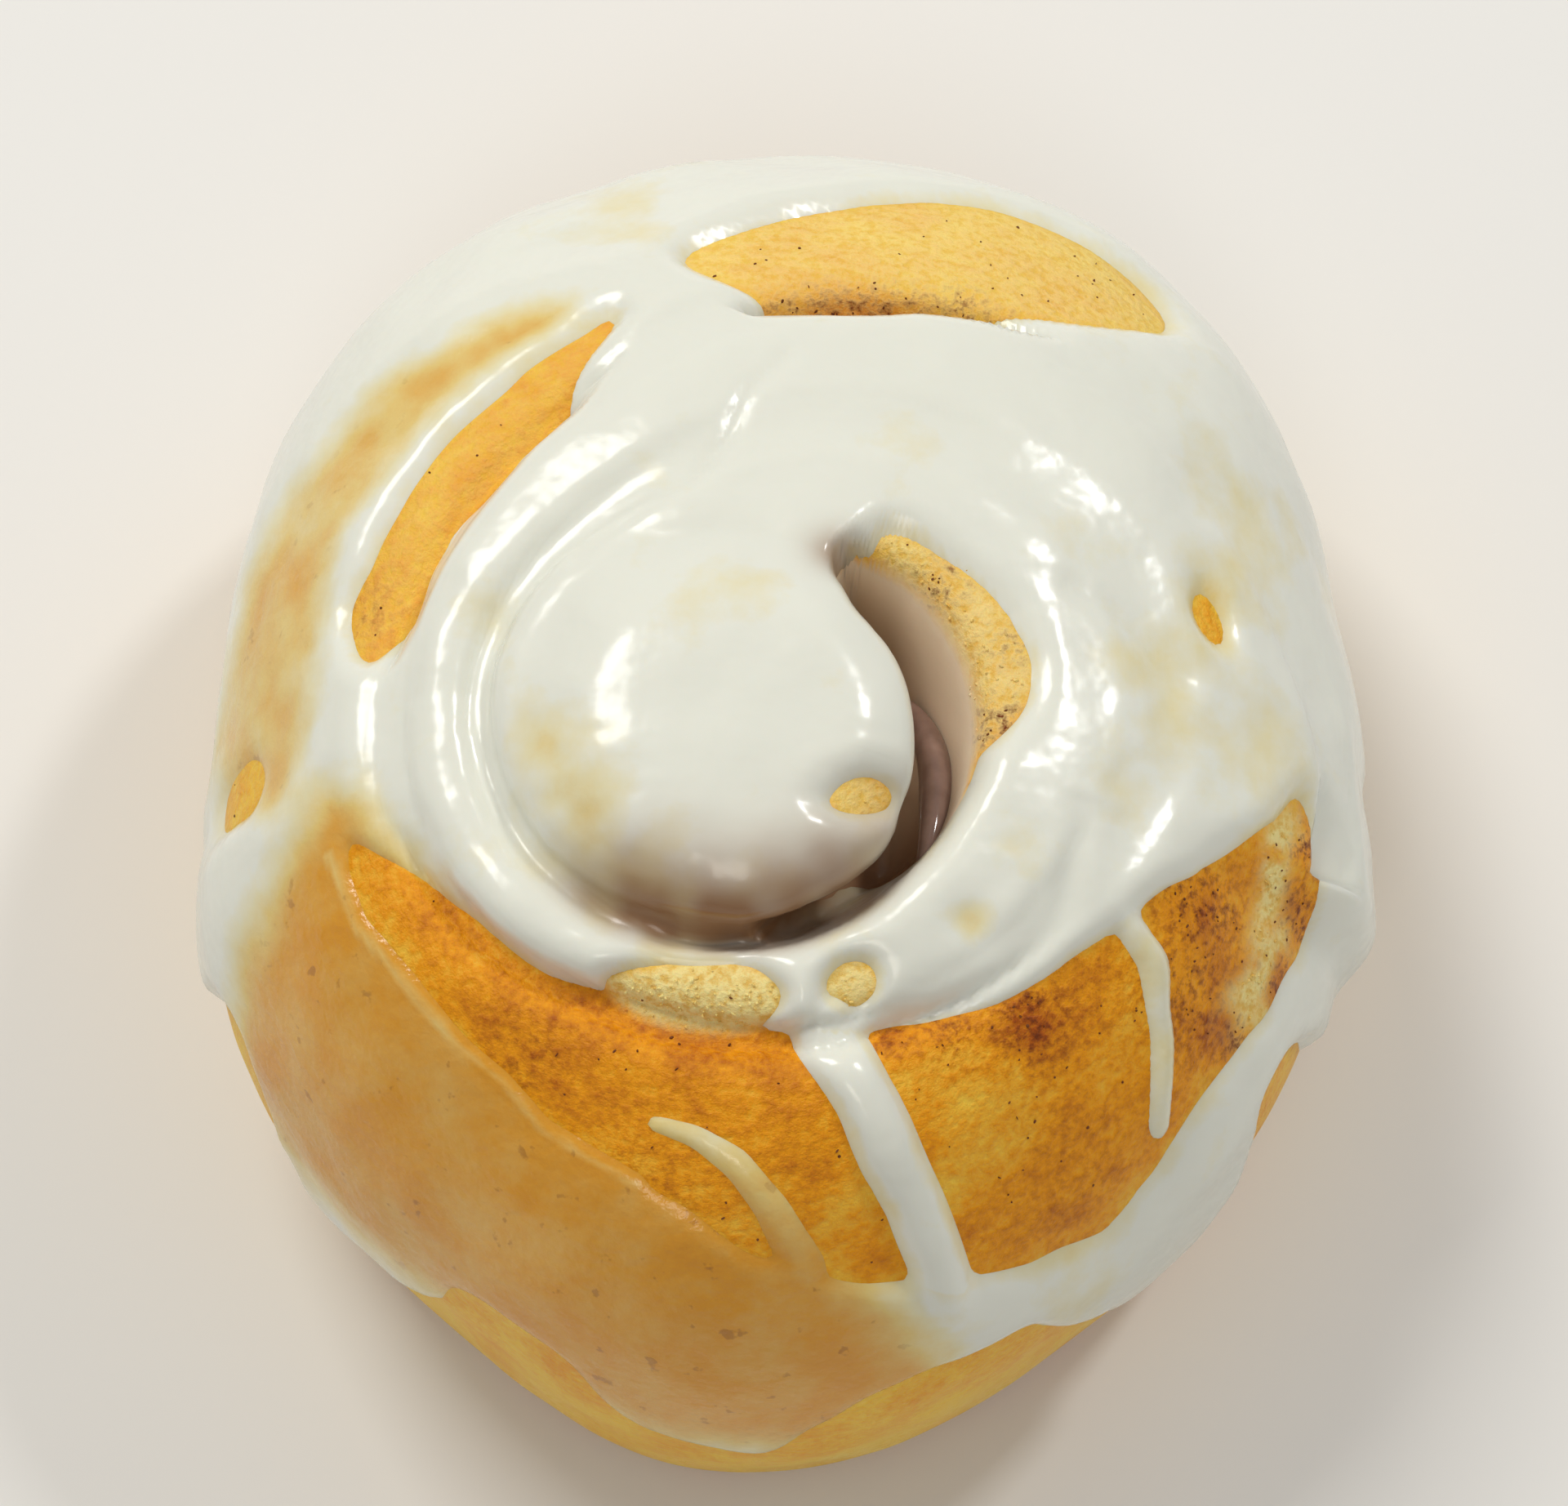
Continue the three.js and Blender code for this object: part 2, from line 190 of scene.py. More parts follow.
# %% Spiral line and its grooves
SPIRAL_START, SPIRAL_STEP, SPIRAL_END = 65.0, 45.0, 790.0
SPIRAL_RADII = np.array([
    14.4, 14.2, 13, 12.4, 12.4, 13.8, 16.2, 18,
    24, 27.6, 22.2, 18.8, 17.4, 19.4, 21.8, 26.4,
    34.8, 37.4, 38.2,
])
GROOVE_HALF, GAP_HALF = 0.8, 1.5
GROOVE_DEPTH, GAP_DEPTH = 2, 10
LIP_WIDTH, LIP_DROP = 2.1, 1.4


def spiral_radius(angle):
    """Radius of the line after an angle in degrees, clockwise from its start."""
    last = len(SPIRAL_RADII) - 1
    place = np.clip(angle / SPIRAL_STEP, 0, last)
    i = np.minimum(np.floor(place).astype(int), last - 1)
    before, later = SPIRAL_RADII[np.maximum(i - 1, 0)], SPIRAL_RADII[np.minimum(i + 2, last)]
    return curve_between(before, SPIRAL_RADII[i], SPIRAL_RADII[i + 1], later, place - i)


def groove_sizes(angle):
    """Half width, depth and lip width of the groove at an angle along the line, and how far it has begun."""
    begins = ramp(angle, 0, 8)
    # The gap is widest just after the line's start and stays deep for another quarter of a turn.
    wide = ramp(angle, 0, 22) * (1 - ramp(angle, 42, 105))
    deep = ramp(angle, 0, 16) * (1 - ramp(angle, 80, 180))
    # The turns meet closely after that, tear again at the back of the last turn, and close at its end.
    shallow = ramp(angle, 300, 340) * (1 - ramp(angle, 655, 690))
    streak = np.exp(-((angle - 716) / 22) ** 2)
    ends = ramp(angle, 750, SPIRAL_END)
    half = (GROOVE_HALF + GAP_HALF * wide) * (0.3 + 0.7 * begins)
    depth = GROOVE_DEPTH + GAP_DEPTH * deep + 1.6 * streak - 0.6 * shallow - 0.6 * ends
    lip = LIP_WIDTH - 1.5 * ramp(angle, SPIRAL_END - 60, SPIRAL_END)
    return half, depth, lip, begins


def lines_near(bearing, r):
    """For each turn: the distance from its line, the angle along it, and whether the line is there."""
    first = np.mod(SPIRAL_START - bearing, 360)
    for turn in range(3):
        angle = first + 360 * turn
        yield r - spiral_radius(angle), angle, angle <= SPIRAL_END


def groove_depth(bearing, r):
    """How far the dough lies below its plain skin: round lips, then steep walls; the outer one slants."""
    total = np.zeros(np.broadcast(bearing, r).shape)
    for x, angle, there in lines_near(bearing, r):
        half, depth, lip, begins = groove_sizes(angle)
        into = np.clip((half + lip - np.abs(x)) / lip, 0, 1)
        lips = LIP_DROP * (1 - np.sqrt(1 - into ** 2))
        slant = half * blend(0.78, -0.3, ramp(half, 0.8, 2.0))
        beside = np.maximum(ramp(x, slant, half + 0.05), ramp(-x, half * 0.78, half + 0.05))
        walls = (depth - LIP_DROP) * (1 - beside)
        total = np.maximum(total, np.where(there, (lips + walls) * begins, 0))
    return total


print("the line's radius after each turn, mm:", spiral_radius(np.array([0.0, 360.0, 720.0])).round(1))

# %% [markdown]
# ## Where the icing is
# Icing pours over the crown, pools thickly on the turns and slides off steep places, which leaves islands
# of bare crust. The islands are drawn from above. Most are outlines: rows of bearing, inner radius and
# outer radius. Four small ones are ovals: bearing, radius, half size along the radius and across it, and a
# turn in degrees. A flat map for each island holds the distance to its edge, so any point of any mesh can
# ask how far it is from the edge of the icing.

# %% Islands of bare crust
ISLANDS = {
    "crescent": [
        (95, 36, 36), (89, 33, 38.7), (82, 31.2, 41.6), (75, 31.9, 44),
        (68, 33.8, 46), (60, 36.6, 47), (54, 39.6, 46.8), (50, 44.5, 44.5),
    ],
    "left": [
        (162, 23.4, 23.4), (155, 22.5, 25.8), (140, 23.5, 27.2),
        (125, 24.6, 28.8), (112, 26.9, 30.4), (103, 31.4, 31.4),
    ],
    "lip": [
        (57, 17, 17), (49, 15.8, 18.4), (32, 15.5, 19.5),
        (18, 15, 19.9), (8, 14.5, 18.2), (-2, 14.8, 14.8),
    ],
    "front": [
        (-170, 23.4, 23.4), (-160, 20.4, 24), (-148, 18.6, 23), (-132, 17.6, 23), (-115, 16.8, 24.6),
        (-100, 16.7, 26), (-88, 17.1, 29), (-76, 18.3, 31.4), (-62, 19.6, 33), (-48, 21.6, 34.4),
        (-34, 23.8, 34.4), (-20, 26.4, 35.8), (-9, 30.4, 37), (-3, 33.6, 37.2), (2, 35.8, 35.8),
    ],
    "lens": [
        (-117, 16.2, 16.2), (-107, 14.4, 17.4), (-94, 13.6, 17.6), (-83, 14.0, 17.4), (-77, 15.8, 15.8),
    ],
}
OVALS = {
    "coil spot": (-27, 9.1, 2.0, 1.2, 45),
    "crumb": (-63, 16.6, 1.4, 1.7, 0),
    "right spot": (20, 32.0, 0.8, 1.7, 0),
    "left hole": (176, 31.2, 1.7, 2.2, 0),
}


def closed_curve(corners, pieces=8):
    """A smooth closed curve through the corners."""
    p = np.asarray(corners, float)
    before, after, later = [np.roll(p, places, 0) for places in (1, -1, -2)]
    points = [curve_between(before, p, after, later, t) for t in np.arange(pieces) / pieces]
    return np.stack(points, 1).reshape(-1, 2)


def outline_of(rows):
    """A closed curve from rows that run from one tip of an island to the other."""
    outer = [plan(b, r) for b, _, r in rows]
    inner = [plan(b, r) for b, r, _ in rows[1:-1]]
    return closed_curve(outer + inner[::-1])


def distance_to(x, y, outline):
    """Distance to a closed outline, below 0 inside it."""
    nearest = np.full(x.shape, 1e9)
    inside = np.zeros(x.shape, bool)
    for (ax, ay), (bx, by) in zip(outline, np.roll(outline, -1, 0)):
        dx, dy = bx - ax, by - ay
        t = np.clip(((x - ax) * dx + (y - ay) * dy) / (dx * dx + dy * dy + 1e-12), 0, 1)
        nearest = np.minimum(nearest, (x - ax - t * dx) ** 2 + (y - ay - t * dy) ** 2)
        if ay != by:
            crosses = (y < ay) != (y < by)
            inside ^= crosses & (x < ax + (y - ay) / (by - ay) * dx)
    return np.where(inside, -1, 1) * np.sqrt(nearest)


def oval_distance(x, y, oval):
    """Distance to the edge of an oval, roughly, below 0 inside it."""
    bearing, r, radial, sideways, turn = oval
    cx, cy = plan(bearing, r)
    c, s = plan(bearing + turn, 1.0)
    u = (x - cx) * c + (y - cy) * s
    v = (y - cy) * c - (x - cx) * s
    return (np.hypot(u / radial, v / sideways) - 1) * min(radial, sideways)


MAP_STEP, MAP_EDGE = 0.25, 50.0
axis = np.arange(-MAP_EDGE, MAP_EDGE + MAP_STEP, MAP_STEP)
map_x, map_y = np.meshgrid(axis, axis, indexing="ij")
island_maps = {}
for name, rows in ISLANDS.items():
    island_maps[name] = distance_to(map_x, map_y, outline_of(rows))
for name, oval in OVALS.items():
    island_maps[name] = oval_distance(map_x, map_y, oval)


def look_up(flat_map, x, y):
    """Reads a flat map between its points."""
    u = np.clip((x + MAP_EDGE) / MAP_STEP, 0, len(axis) - 1.001)
    v = np.clip((y + MAP_EDGE) / MAP_STEP, 0, len(axis) - 1.001)
    i, j = u.astype(int), v.astype(int)
    s, t = u - i, v - j
    near = blend(flat_map[i, j], flat_map[i + 1, j], s)
    far = blend(flat_map[i, j + 1], flat_map[i + 1, j + 1], s)
    return blend(near, far, t)


print("islands:", len(island_maps))

# %% [markdown]
# ## Drips, thin icing and the skirt
# Drips are drawn as short paths, with a half width at each end and a height. Where little icing is left,
# the crust shines through. Wide areas of such glaze are outlines like the islands, with a strength and a
# soft border. Small ones, the veils, are round: bearing, radius, reach and strength. A crease is a shallow
# furrow where icing that had begun to set was pushed together. Down the sides the icing ends in a skirt
# with tongues of different lengths: bearing, length and spread.

# %% Maps of drips and thin icing
DRIPS = [
    ([(-71, 18.6), (-69.5, 21), (-67.5, 25), (-66.5, 29), (-66, 32.6)], (2.0, 1.65), 1.3),
    ([(-17, 22.8), (-20.5, 25.4), (-24, 28.5), (-30, 31), (-37, 33.2)], (1.0, 0.55), 0.7),
    ([(-101, 23.0), (-94, 23.4), (-88, 25.0), (-84, 27.4), (-81, 30.5)], (0.35, 1.3), 0.32),
    (
        [(-169, 24.6), (-157, 24.2), (-146, 23.2), (-132, 23.2), (-116, 24.8), (-101, 26.2)],
        (0.5, 0.42), 0.36,
    ),
]
GLAZES = [
    (1.0, 3.0, [
        (-178, 24, 24), (-168, 21, 29), (-157, 20, 35), (-146, 20, 41), (-132, 20, 47),
        (-116, 21, 48), (-101, 23, 47), (-88, 26, 46), (-77, 30, 44), (-66, 38, 38),
    ]),
    (0.8, 2.0, [
        (-178, 28, 28), (172, 25.8, 33), (160, 26.6, 34), (147, 28.4, 35),
        (133, 29.6, 35), (118, 30.6, 34.6), (108, 33, 33),
    ]),
]
VEILS = [
    # The first six veils ring the coil's front rim: thin icing with crumb showing, and painted shade on its
    # side.
    (-150, 9.6, 3.4, 0.42), (-122, 11.0, 3.0, 0.42), (-178, 10.2, 2.6, 0.3), (-98, 11.2, 2.6, 0.34),
    (-66, 11.2, 2.4, 0.3), (-38, 11.4, 2.2, 0.26), (78, 9.6, 2.6, 0.22), (104, 7.8, 2.6, 0.2),
    (-36, 18.2, 1.3, 0.62), (-105, 14.4, 1.8, 0.3), (-20, 19, 2.6, 0.18), (-50, 15.4, 2.4, 0.2),
    (55, 43, 4, 0.36), (14, 27, 4.4, 0.28), (4, 32.5, 4.0, 0.32), (22, 33, 3.4, 0.34), (30, 38, 5, 0.3),
    (-52, 37, 4, 0.25), (100, 41, 4, 0.34), (-4, 25, 3.4, 0.26), (-86, 27, 4.2, 0.62), (-64, 30, 4, 0.2),
    (-30, 28, 4, 0.24), (152, 17.5, 2.6, 0.2), (-160, 16, 2.8, 0.18), (60, 22, 3.4, 0.16),
]
CREASES = [
    ([(-8, 21.6), (-26, 22.6), (-38, 21.9), (-50, 20.6), (-62, 19.6)], 0.55, 0.35),
    ([(128, 15.5), (115, 16.2), (98, 17.6), (90, 20.2), (87, 24.1), (82, 27)], 0.3, 0.45),
    ([(28, 24), (20, 26.5), (12, 29)], 0.8, 0.4),
    ([(168, 19.2), (158, 20), (146, 20.2)], 0.5, 0.25),
]
SKIRT_HEIGHT = 25.0
TONGUES = [
    (20, 8, 12), (57, 14, 13), (122, 15, 15), (182, 10, 12),
    (222, 13, 15), (268, 7, 12), (318, 11, 13), (352, 8, 10),
]
DRIP_WANDER, BURIED = 0.3, -0.4


def drip_map(path, halves, height):
    """Height of a drip above the skin, below 0 beside it."""
    points = np.array([plan(b, r) for b, r in path])
    best = np.full(map_x.shape, -1.0)
    x = map_x + DRIP_WANDER * lumps(map_x, map_y, 0, 2.6, 61)
    y = map_y + DRIP_WANDER * lumps(map_x, map_y, 0, 2.6, 62)
    for i, ((ax, ay), (bx, by)) in enumerate(zip(points[:-1], points[1:])):
        dx, dy = bx - ax, by - ay
        t = np.clip(((x - ax) * dx + (y - ay) * dy) / (dx * dx + dy * dy), 0, 1)
        half = blend(halves[0], halves[1], (i + t) / (len(points) - 1))
        away = np.hypot(x - ax - t * dx, y - ay - t * dy) / half
        top = height * np.sqrt(np.clip(1 - away ** 2, 0, 1))
        beside = np.maximum(-0.9 * (away - 1) * half, BURIED)
        best = np.maximum(best, np.where(away < 1, top, beside))
    return best


drips = np.maximum.reduce([drip_map(*drip) for drip in DRIPS])
creases = np.zeros(map_x.shape)
for path, half, depth in CREASES:
    reach = -drip_map(path, (3 * half, 3 * half), 1.0)
    creases = np.maximum(creases, depth * np.exp(-(1 - np.clip(reach, -1, 0) ** 2) * 9))
veil = np.zeros(map_x.shape)
for strength, soft, rows in GLAZES:
    inside = 1 - ramp(distance_to(map_x, map_y, outline_of(rows)), -soft, soft)
    veil = 1 - (1 - veil) * (1 - strength * inside)
for bearing, r, reach, strength in VEILS:
    veil = 1 - (1 - veil) * (1 - strength * spot_at(map_x, map_y, bearing, r, reach))


def skirt_height(bearing):
    """Height of the icing's lower edge at a bearing."""
    height = SKIRT_HEIGHT
    for centre, reach, spread in TONGUES:
        height = height - reach * np.exp(-(bearing_from(centre, bearing) / spread) ** 4)
    return height


def above_skirt(bearing, r, z):
    """Distance above the skirt's edge, measured square to it, so its steep parts stay clean."""
    rise = skirt_height(bearing + 1) - skirt_height(bearing - 1)
    slope = rise / np.radians(2) / np.maximum(r, 10)
    return (z - skirt_height(bearing)) / np.sqrt(1 + slope ** 2)


print("veil covers", round(float((veil > 0.5).mean() * (2 * MAP_EDGE) ** 2)), "mm2")

# %% [markdown]
# ## Heights of the dough and of the icing
# Two heights over the plain skin give the whole form. The dough's falls by its groove, and soft lumps raise
# and lower it a little. The icing's follows the dough's but fills the grooves halfway, and its thickness
# falls to nothing at an edge along a quarter circle, which is how a thick liquid ends. Past the edge it dips
# just under the crust.

# %% Relief
FAR_FROM_EDGE, SKIRT_WOBBLE = 9.0, 0.9
ICING_THICKNESS, THIN_LOSS = 1.12, 0.74
EDGE_ROUND, THIN_EDGE_ROUND = 1.8, 0.9


def relief(x, y, z, level):
    """The dough's own soft lumps, which fade out at the foot."""
    soft = 0.34 * lumps(x, y, z, 9, 11) + 0.14 * lumps(x, y, z, 4, 12)
    return soft * (1 - ramp(level, 1.75, 1.98))


def dough_height(bearing, level):
    """Height over the plain skin, with the skin itself: radius, height, direction and x, y."""
    r, z, out, up = skin(bearing, level)
    x, y = plan(bearing, r)
    height = relief(x, y, z, level) - np.where(level < 1, groove_depth(bearing, r), 0)
    return height, (r, z, out, up, x, y)


def bare_distance(bearing, level, r, z, x, y):
    """Distance from the nearest edge of the icing, below 0 where the crust is bare."""
    wobble = 0.28 * lumps(x, y, z, 3.2, 21) + 0.07 * lumps(x, y, z, 1.4, 22)
    nearest = np.full(r.shape, FAR_FROM_EDGE)
    for flat_map in island_maps.values():
        nearest = np.minimum(nearest, look_up(flat_map, x, y))
    # The icing also ends at the gap's walls, where the first turn has opened.
    angle = np.mod(SPIRAL_START - bearing, 360)
    half, _, _, _ = groove_sizes(angle)
    opened = ramp(angle, 0, 5) * (1 - ramp(angle, 115, 180))
    open_half = blend(-3.0, half + 0.15 - 0.45 * ramp(angle, 60, 110), opened)
    nearest = np.minimum(nearest, np.abs(r - spiral_radius(angle)) - open_half)
    skirt = above_skirt(bearing, r, z) + SKIRT_WOBBLE * lumps(x, y, z, 5, 23)
    return np.minimum(nearest + wobble, skirt * np.where(level < 1, 1.25, 1))


def soften(values):
    """Averages each number of a grid a little with those beside it in both directions."""
    round_about = (np.roll(values, 1, 0) + 2 * values + np.roll(values, -1, 0)) / 4
    padded = np.concatenate([round_about[:, :1], round_about, round_about[:, -1:]], 1)
    return (padded[:, :-2] + 2 * round_about + padded[:, 2:]) / 4


def valley_depth(bearing, r):
    """How far the icing sinks between the turns, most of all round the coil."""
    valley = np.zeros(r.shape)
    for x_line, angle, there in lines_near(bearing, r):
        depth = 1.6 - 1.3 * ramp(angle, 270, 350) + 0.5 * ramp(angle, 420, 470) - 0.5 * ramp(angle, 640, 700)
        width = 1.3 + 1.0 * ramp(angle, 230, 300)
        valley = np.maximum(valley, np.where(there, depth * np.exp(-(x_line / width) ** 2), 0))
    return valley


def icing_height(bearing, level):
    """Height of the icing, its thickness, the dough's height, the skin, the edge's distance, and thinness."""
    dough, (r, z, out, up, x, y) = dough_height(bearing, level)
    edge = bare_distance(bearing, level, r, z, x, y)
    # A thin layer is patchy, and a drip that runs over it hides half of that.
    thin = look_up(veil, x, y) * ramp(z, 12, 24)
    patchy = lumps(x, y, z, 2.2, 35) + 0.6 * lumps(x, y, z, 1.1, 36)
    thin = np.clip(thin * (1 + 0.5 * (1 - thin) * patchy), 0, 1)
    thin = thin * (1 - 0.5 * ramp(look_up(drips, x, y), 0.2, 0.55) * (level < 1.2))
    # The full thickness varies in soft lumps and in ridges that flow round the coil, and dips in a crease.
    flow = lumps(r, *plan(bearing, 5.3), 2.4, 33) * ramp(r, 6, 14)
    on_top = 1 - ramp(level, 0.84, 0.99)
    full = ICING_THICKNESS + 0.24 * lumps(x, y, z, 7, 31) + 0.1 * lumps(x, y, z, 3, 32) + 0.16 * flow
    full = (full - look_up(creases, x, y) * on_top) * (1 - THIN_LOSS * thin)
    # It rounds off to an edge and dips under the crust past it, further where the crust is steep.
    rounding = blend(EDGE_ROUND, THIN_EDGE_ROUND, thin)
    rounded = (1 - (1 - np.clip(edge / rounding, 0, 1)) ** 2) ** 0.7
    steep = ramp(groove_depth(bearing, r), 0.8, 2.5) * (level < 1)
    dipped = np.maximum((0.9 + 2 * steep) * edge, BURIED - 1.2 * steep)
    thickness = np.where(edge > 0, full * rounded, dipped)
    thickness = soften(np.maximum(thickness, np.where(level < 1.2, look_up(drips, x, y), -1)))
    filled = relief(x, y, z, level) * 0.7 - valley_depth(bearing, r) * on_top
    base = blend(dough, np.maximum(dough, filled), ramp(edge, 0.2, 2.4))
    return base + thickness, thickness, dough, (r, z, out, up, x, y), edge, thin


# %% [markdown]
# ## From heights to meshes
# Each mesh is a fan of upright sections, one for each bearing. In a section the points are spread evenly
# along the dough's finished line, where the walls of the gap count for a third of their height: they need
# some points, but the cells beside the gap must not be sheared. The wall of the bun and its base need
# fewer. The dough and the icing share one grid, which keeps the line where the icing ends clean. The
# columns lie closer together at the loose end of the strip, where the step is.

# %% One grid for dough and icing
GRID_COLUMNS, STEP_COLUMNS, GRID_ROWS = 380, 9, 176
LAST_LEVEL, WALL_SHARE = 2.97, 0.35
FINE_POINTS, COLUMNS_AT_ONCE, SMOOTHINGS = 1500, 60, 6


def column_bearings(count):
    """Evenly spread bearings, with some more between them at the step."""
    plain = TAIL_BEARING + 360 / count * np.arange(count)
    between = TAIL_BEARING - 360 / count * (np.arange(STEP_COLUMNS) - 1.5)
    return np.sort(np.mod(np.concatenate([plain, between]), 360))


def even_levels(columns, rows):
    """For each column, the levels of its rows, evenly spread along the dough's section."""
    found = np.empty((len(columns), rows))
    fine = np.linspace(0, 1, FINE_POINTS) ** 1.1 * LAST_LEVEL
    worth = np.where(fine[1:] > 2, 0.2, np.where(fine[1:] > 1.2, 0.55, 1.0))
    for start in range(0, len(columns), COLUMNS_AT_ONCE):
        some = columns[start:start + COLUMNS_AT_ONCE, None]
        height, (r, z, out, up, _, _) = dough_height(some, fine)
        height = height * WALL_SHARE
        length = np.hypot(np.diff(r + out * height, axis=1), np.diff(z + up * height, axis=1)) * worth
        total = np.concatenate([np.zeros((len(length), 1)), np.cumsum(length, 1)], 1)
        for i, row in enumerate(total):
            found[start + i] = np.interp(np.linspace(0, row[-1], rows + 1)[1:], row, fine)
    for _ in range(SMOOTHINGS):
        found = (np.roll(found, 1, 0) + 2 * found + np.roll(found, -1, 0)) / 4
    return found


bearings = column_bearings(GRID_COLUMNS)[:, None]
levels = even_levels(bearings[:, 0], GRID_ROWS)
columns = len(bearings)
print("grid:", columns, "columns,", GRID_ROWS, "rows")


# %% Mesh helpers
def points_at(bearing, skin_parts, height):
    """Points in metres at a height over the plain skin."""
    r, z, out, up, _, _ = skin_parts
    x, y = plan(bearing, r + out * height)
    return to_frame(x, y, z + up * height)


def mesh_object(name, points, faces, attributes=None):
    """A smooth mesh object at the origin, without unused points, with numbers stored on its points."""
    used = np.unique(np.concatenate([np.ravel(face) for face in faces]))
    place_of = np.zeros(len(points), int)
    place_of[used] = np.arange(len(used))
    mesh = bpy.data.meshes.new(name)
    rows = [row for face in faces for row in place_of[face].tolist()]
    mesh.from_pydata(points[used].tolist(), [], rows)
    for key, values in (attributes or {}).items():
        stored = mesh.attributes.new(key, "FLOAT", "POINT")
        stored.data.foreach_set("value", np.asarray(values, np.float32)[used])
    mesh.shade_smooth()
    piece = bpy.data.objects.new(name, mesh)
    bpy.context.scene.collection.objects.link(piece)
    return piece


def grid_cells():
    """Quads between the rows and columns of the grid."""
    i, j = np.meshgrid(np.arange(columns), np.arange(GRID_ROWS - 1), indexing="ij")
    a = i * GRID_ROWS + j
    b = (i + 1) % columns * GRID_ROWS + j
    return np.stack([a, a + 1, b + 1, b], -1).reshape(-1, 4)


def pole_fan(pole, ring):
    """Triangles between a pole and the ring of points round it, as an array."""
    return np.stack([np.full(len(ring), pole), ring, np.roll(ring, -1)], -1)


def tube_faces(rings, sides):
    """Quads between rings of points that follow one another, and a face over each end."""
    i, k = np.meshgrid(np.arange(rings - 1), np.arange(sides), indexing="ij")
    a, b = i * sides + k, i * sides + (k + 1) % sides
    around = np.stack([a, a + sides, b + sides, b], -1).reshape(-1, 4)
    ring = np.arange(sides)[None]
    return [around, ring, (ring + (rings - 1) * sides)[:, ::-1]]


PEAK = (np.array([[0.0]]), np.array([[0.0]]))
FIRST_ROW = np.arange(columns) * GRID_ROWS
print("cells in the grid:", len(grid_cells()))

# %% [markdown]
# ## The dough
# The baked strip fuses into one soft bun, so it is one mesh. Besides its shape it carries numbers that its
# finish reads: how dark it is baked, where pale crumb shows, where cinnamon lies, how deep in the gap it
# is, and where icing has run down the gap's wall. Crumb shows where the turns were torn apart and where the
# strip was torn off: each row names an island, how much crumb it shows and how soft its border is. Cinnamon
# lies in spots of a bearing, radius, reach and strength, and along the spiral line.

# %% Numbers for the dough's finish
CRUMB_ZONES = [
    ("lip", 0.75, 0.8), ("lens", 1.0, 0.5), ("coil spot", 0.6, 0.5),
    ("crumb", 0.9, 0.5), ("crescent", 0.5, 1), ("left", 0.2, 1),
]
SPICE_SPOTS = [
    (-41, 24.6, 2.4, 0.95), (-15, 30, 3.0, 0.85), (-24, 31, 3.6, 0.6), (-3, 36.3, 1.6, 1.0),
    (-60, 20, 1.8, 0.5), (-9, 36.6, 1.7, 1.0), (-16, 36.2, 1.7, 1.0), (-24, 35.0, 1.7, 1.0),
    (79, 32.2, 1.7, 1.0), (72, 33.2, 1.7, 1.0), (65, 35.6, 1.5, 0.8), (-124, 22, 2.5, 0.35),
    (154, 25, 2.2, 0.35), (-52, 22, 2.0, 0.6), (-33, 26, 4.0, 0.2), (40, 17.4, 1.8, 0.75),
    (22, 18.8, 1.5, 0.6), (6, 16.8, 1.9, 0.95), (-46, 30, 4.0, 0.15), (-100, 27, 3.0, 0.35),
]
TORN_BEARING, TORN_RADIUS, TORN_HALF = -11, 34.6, 0.95
PLAIN_BAKE, FRONT_BAKE, FOOT_BAKE = 0.17, 0.29, 0.45
GAP_SHADE_DEPTH, FRONT_GAP_SHADE_DEPTH = 12, 6.5


def zone(name, x, y, soft):
    """1 inside an island and 0 outside, with a soft border."""
    return 1 - ramp(look_up(island_maps[name], x, y), -soft, soft)


def torn_edge(bearing, r, x, y, z):
    """1 along the line where the strip's end was torn off, on the bare crust at the front right."""
    torn_at = TORN_RADIUS + lumps(x, y, z, 2.2, 43)
    beside = ramp(-np.abs(bearing_from(TORN_BEARING, bearing)), -16, -8)
    return np.exp(-((r - torn_at) / TORN_HALF) ** 2) * beside


def crumb_share(level, x, y, z, torn):
    """How much pale crumb shows: in the islands beside tears, on the wall and on the torn edge."""
    crumb = 0.0
    for name, share, soft in CRUMB_ZONES:
        crumb = crumb + share * zone(name, x, y, soft)
    wall = ramp(level, 1.05, 1.5) * (1 - ramp(level, 1.8, 2))
    crumb = crumb + wall * (0.3 + 0.3 * lumps(x, y, z, 5, 45))
    return crumb + 1.1 * torn * (level < 1.05) * ramp(lumps(x, y, z, 1.3, 44), -0.9, -0.1)


def spice_share(bearing, level, r, x, y, z, torn):
    """How much cinnamon lies on the dough."""
    spice = 0.0
    for spot_bearing, spot_r, reach, strength in SPICE_SPOTS:
        spot = strength * spot_at(x, y, spot_bearing, spot_r, reach)
        spice = np.maximum(spice, spot * ramp(z, 13, 21))
    for x_line, angle, there in lines_near(bearing, r):
        near = np.where(there, np.exp(-(x_line / 1.4) ** 2), 0) * (level < 1.1)
        spice = np.maximum(spice, np.where(angle > 690, 0.9, 0.12) * near)
    return spice * (1 - 0.75 * np.clip(torn, 0, 1) * (level < 1.05))


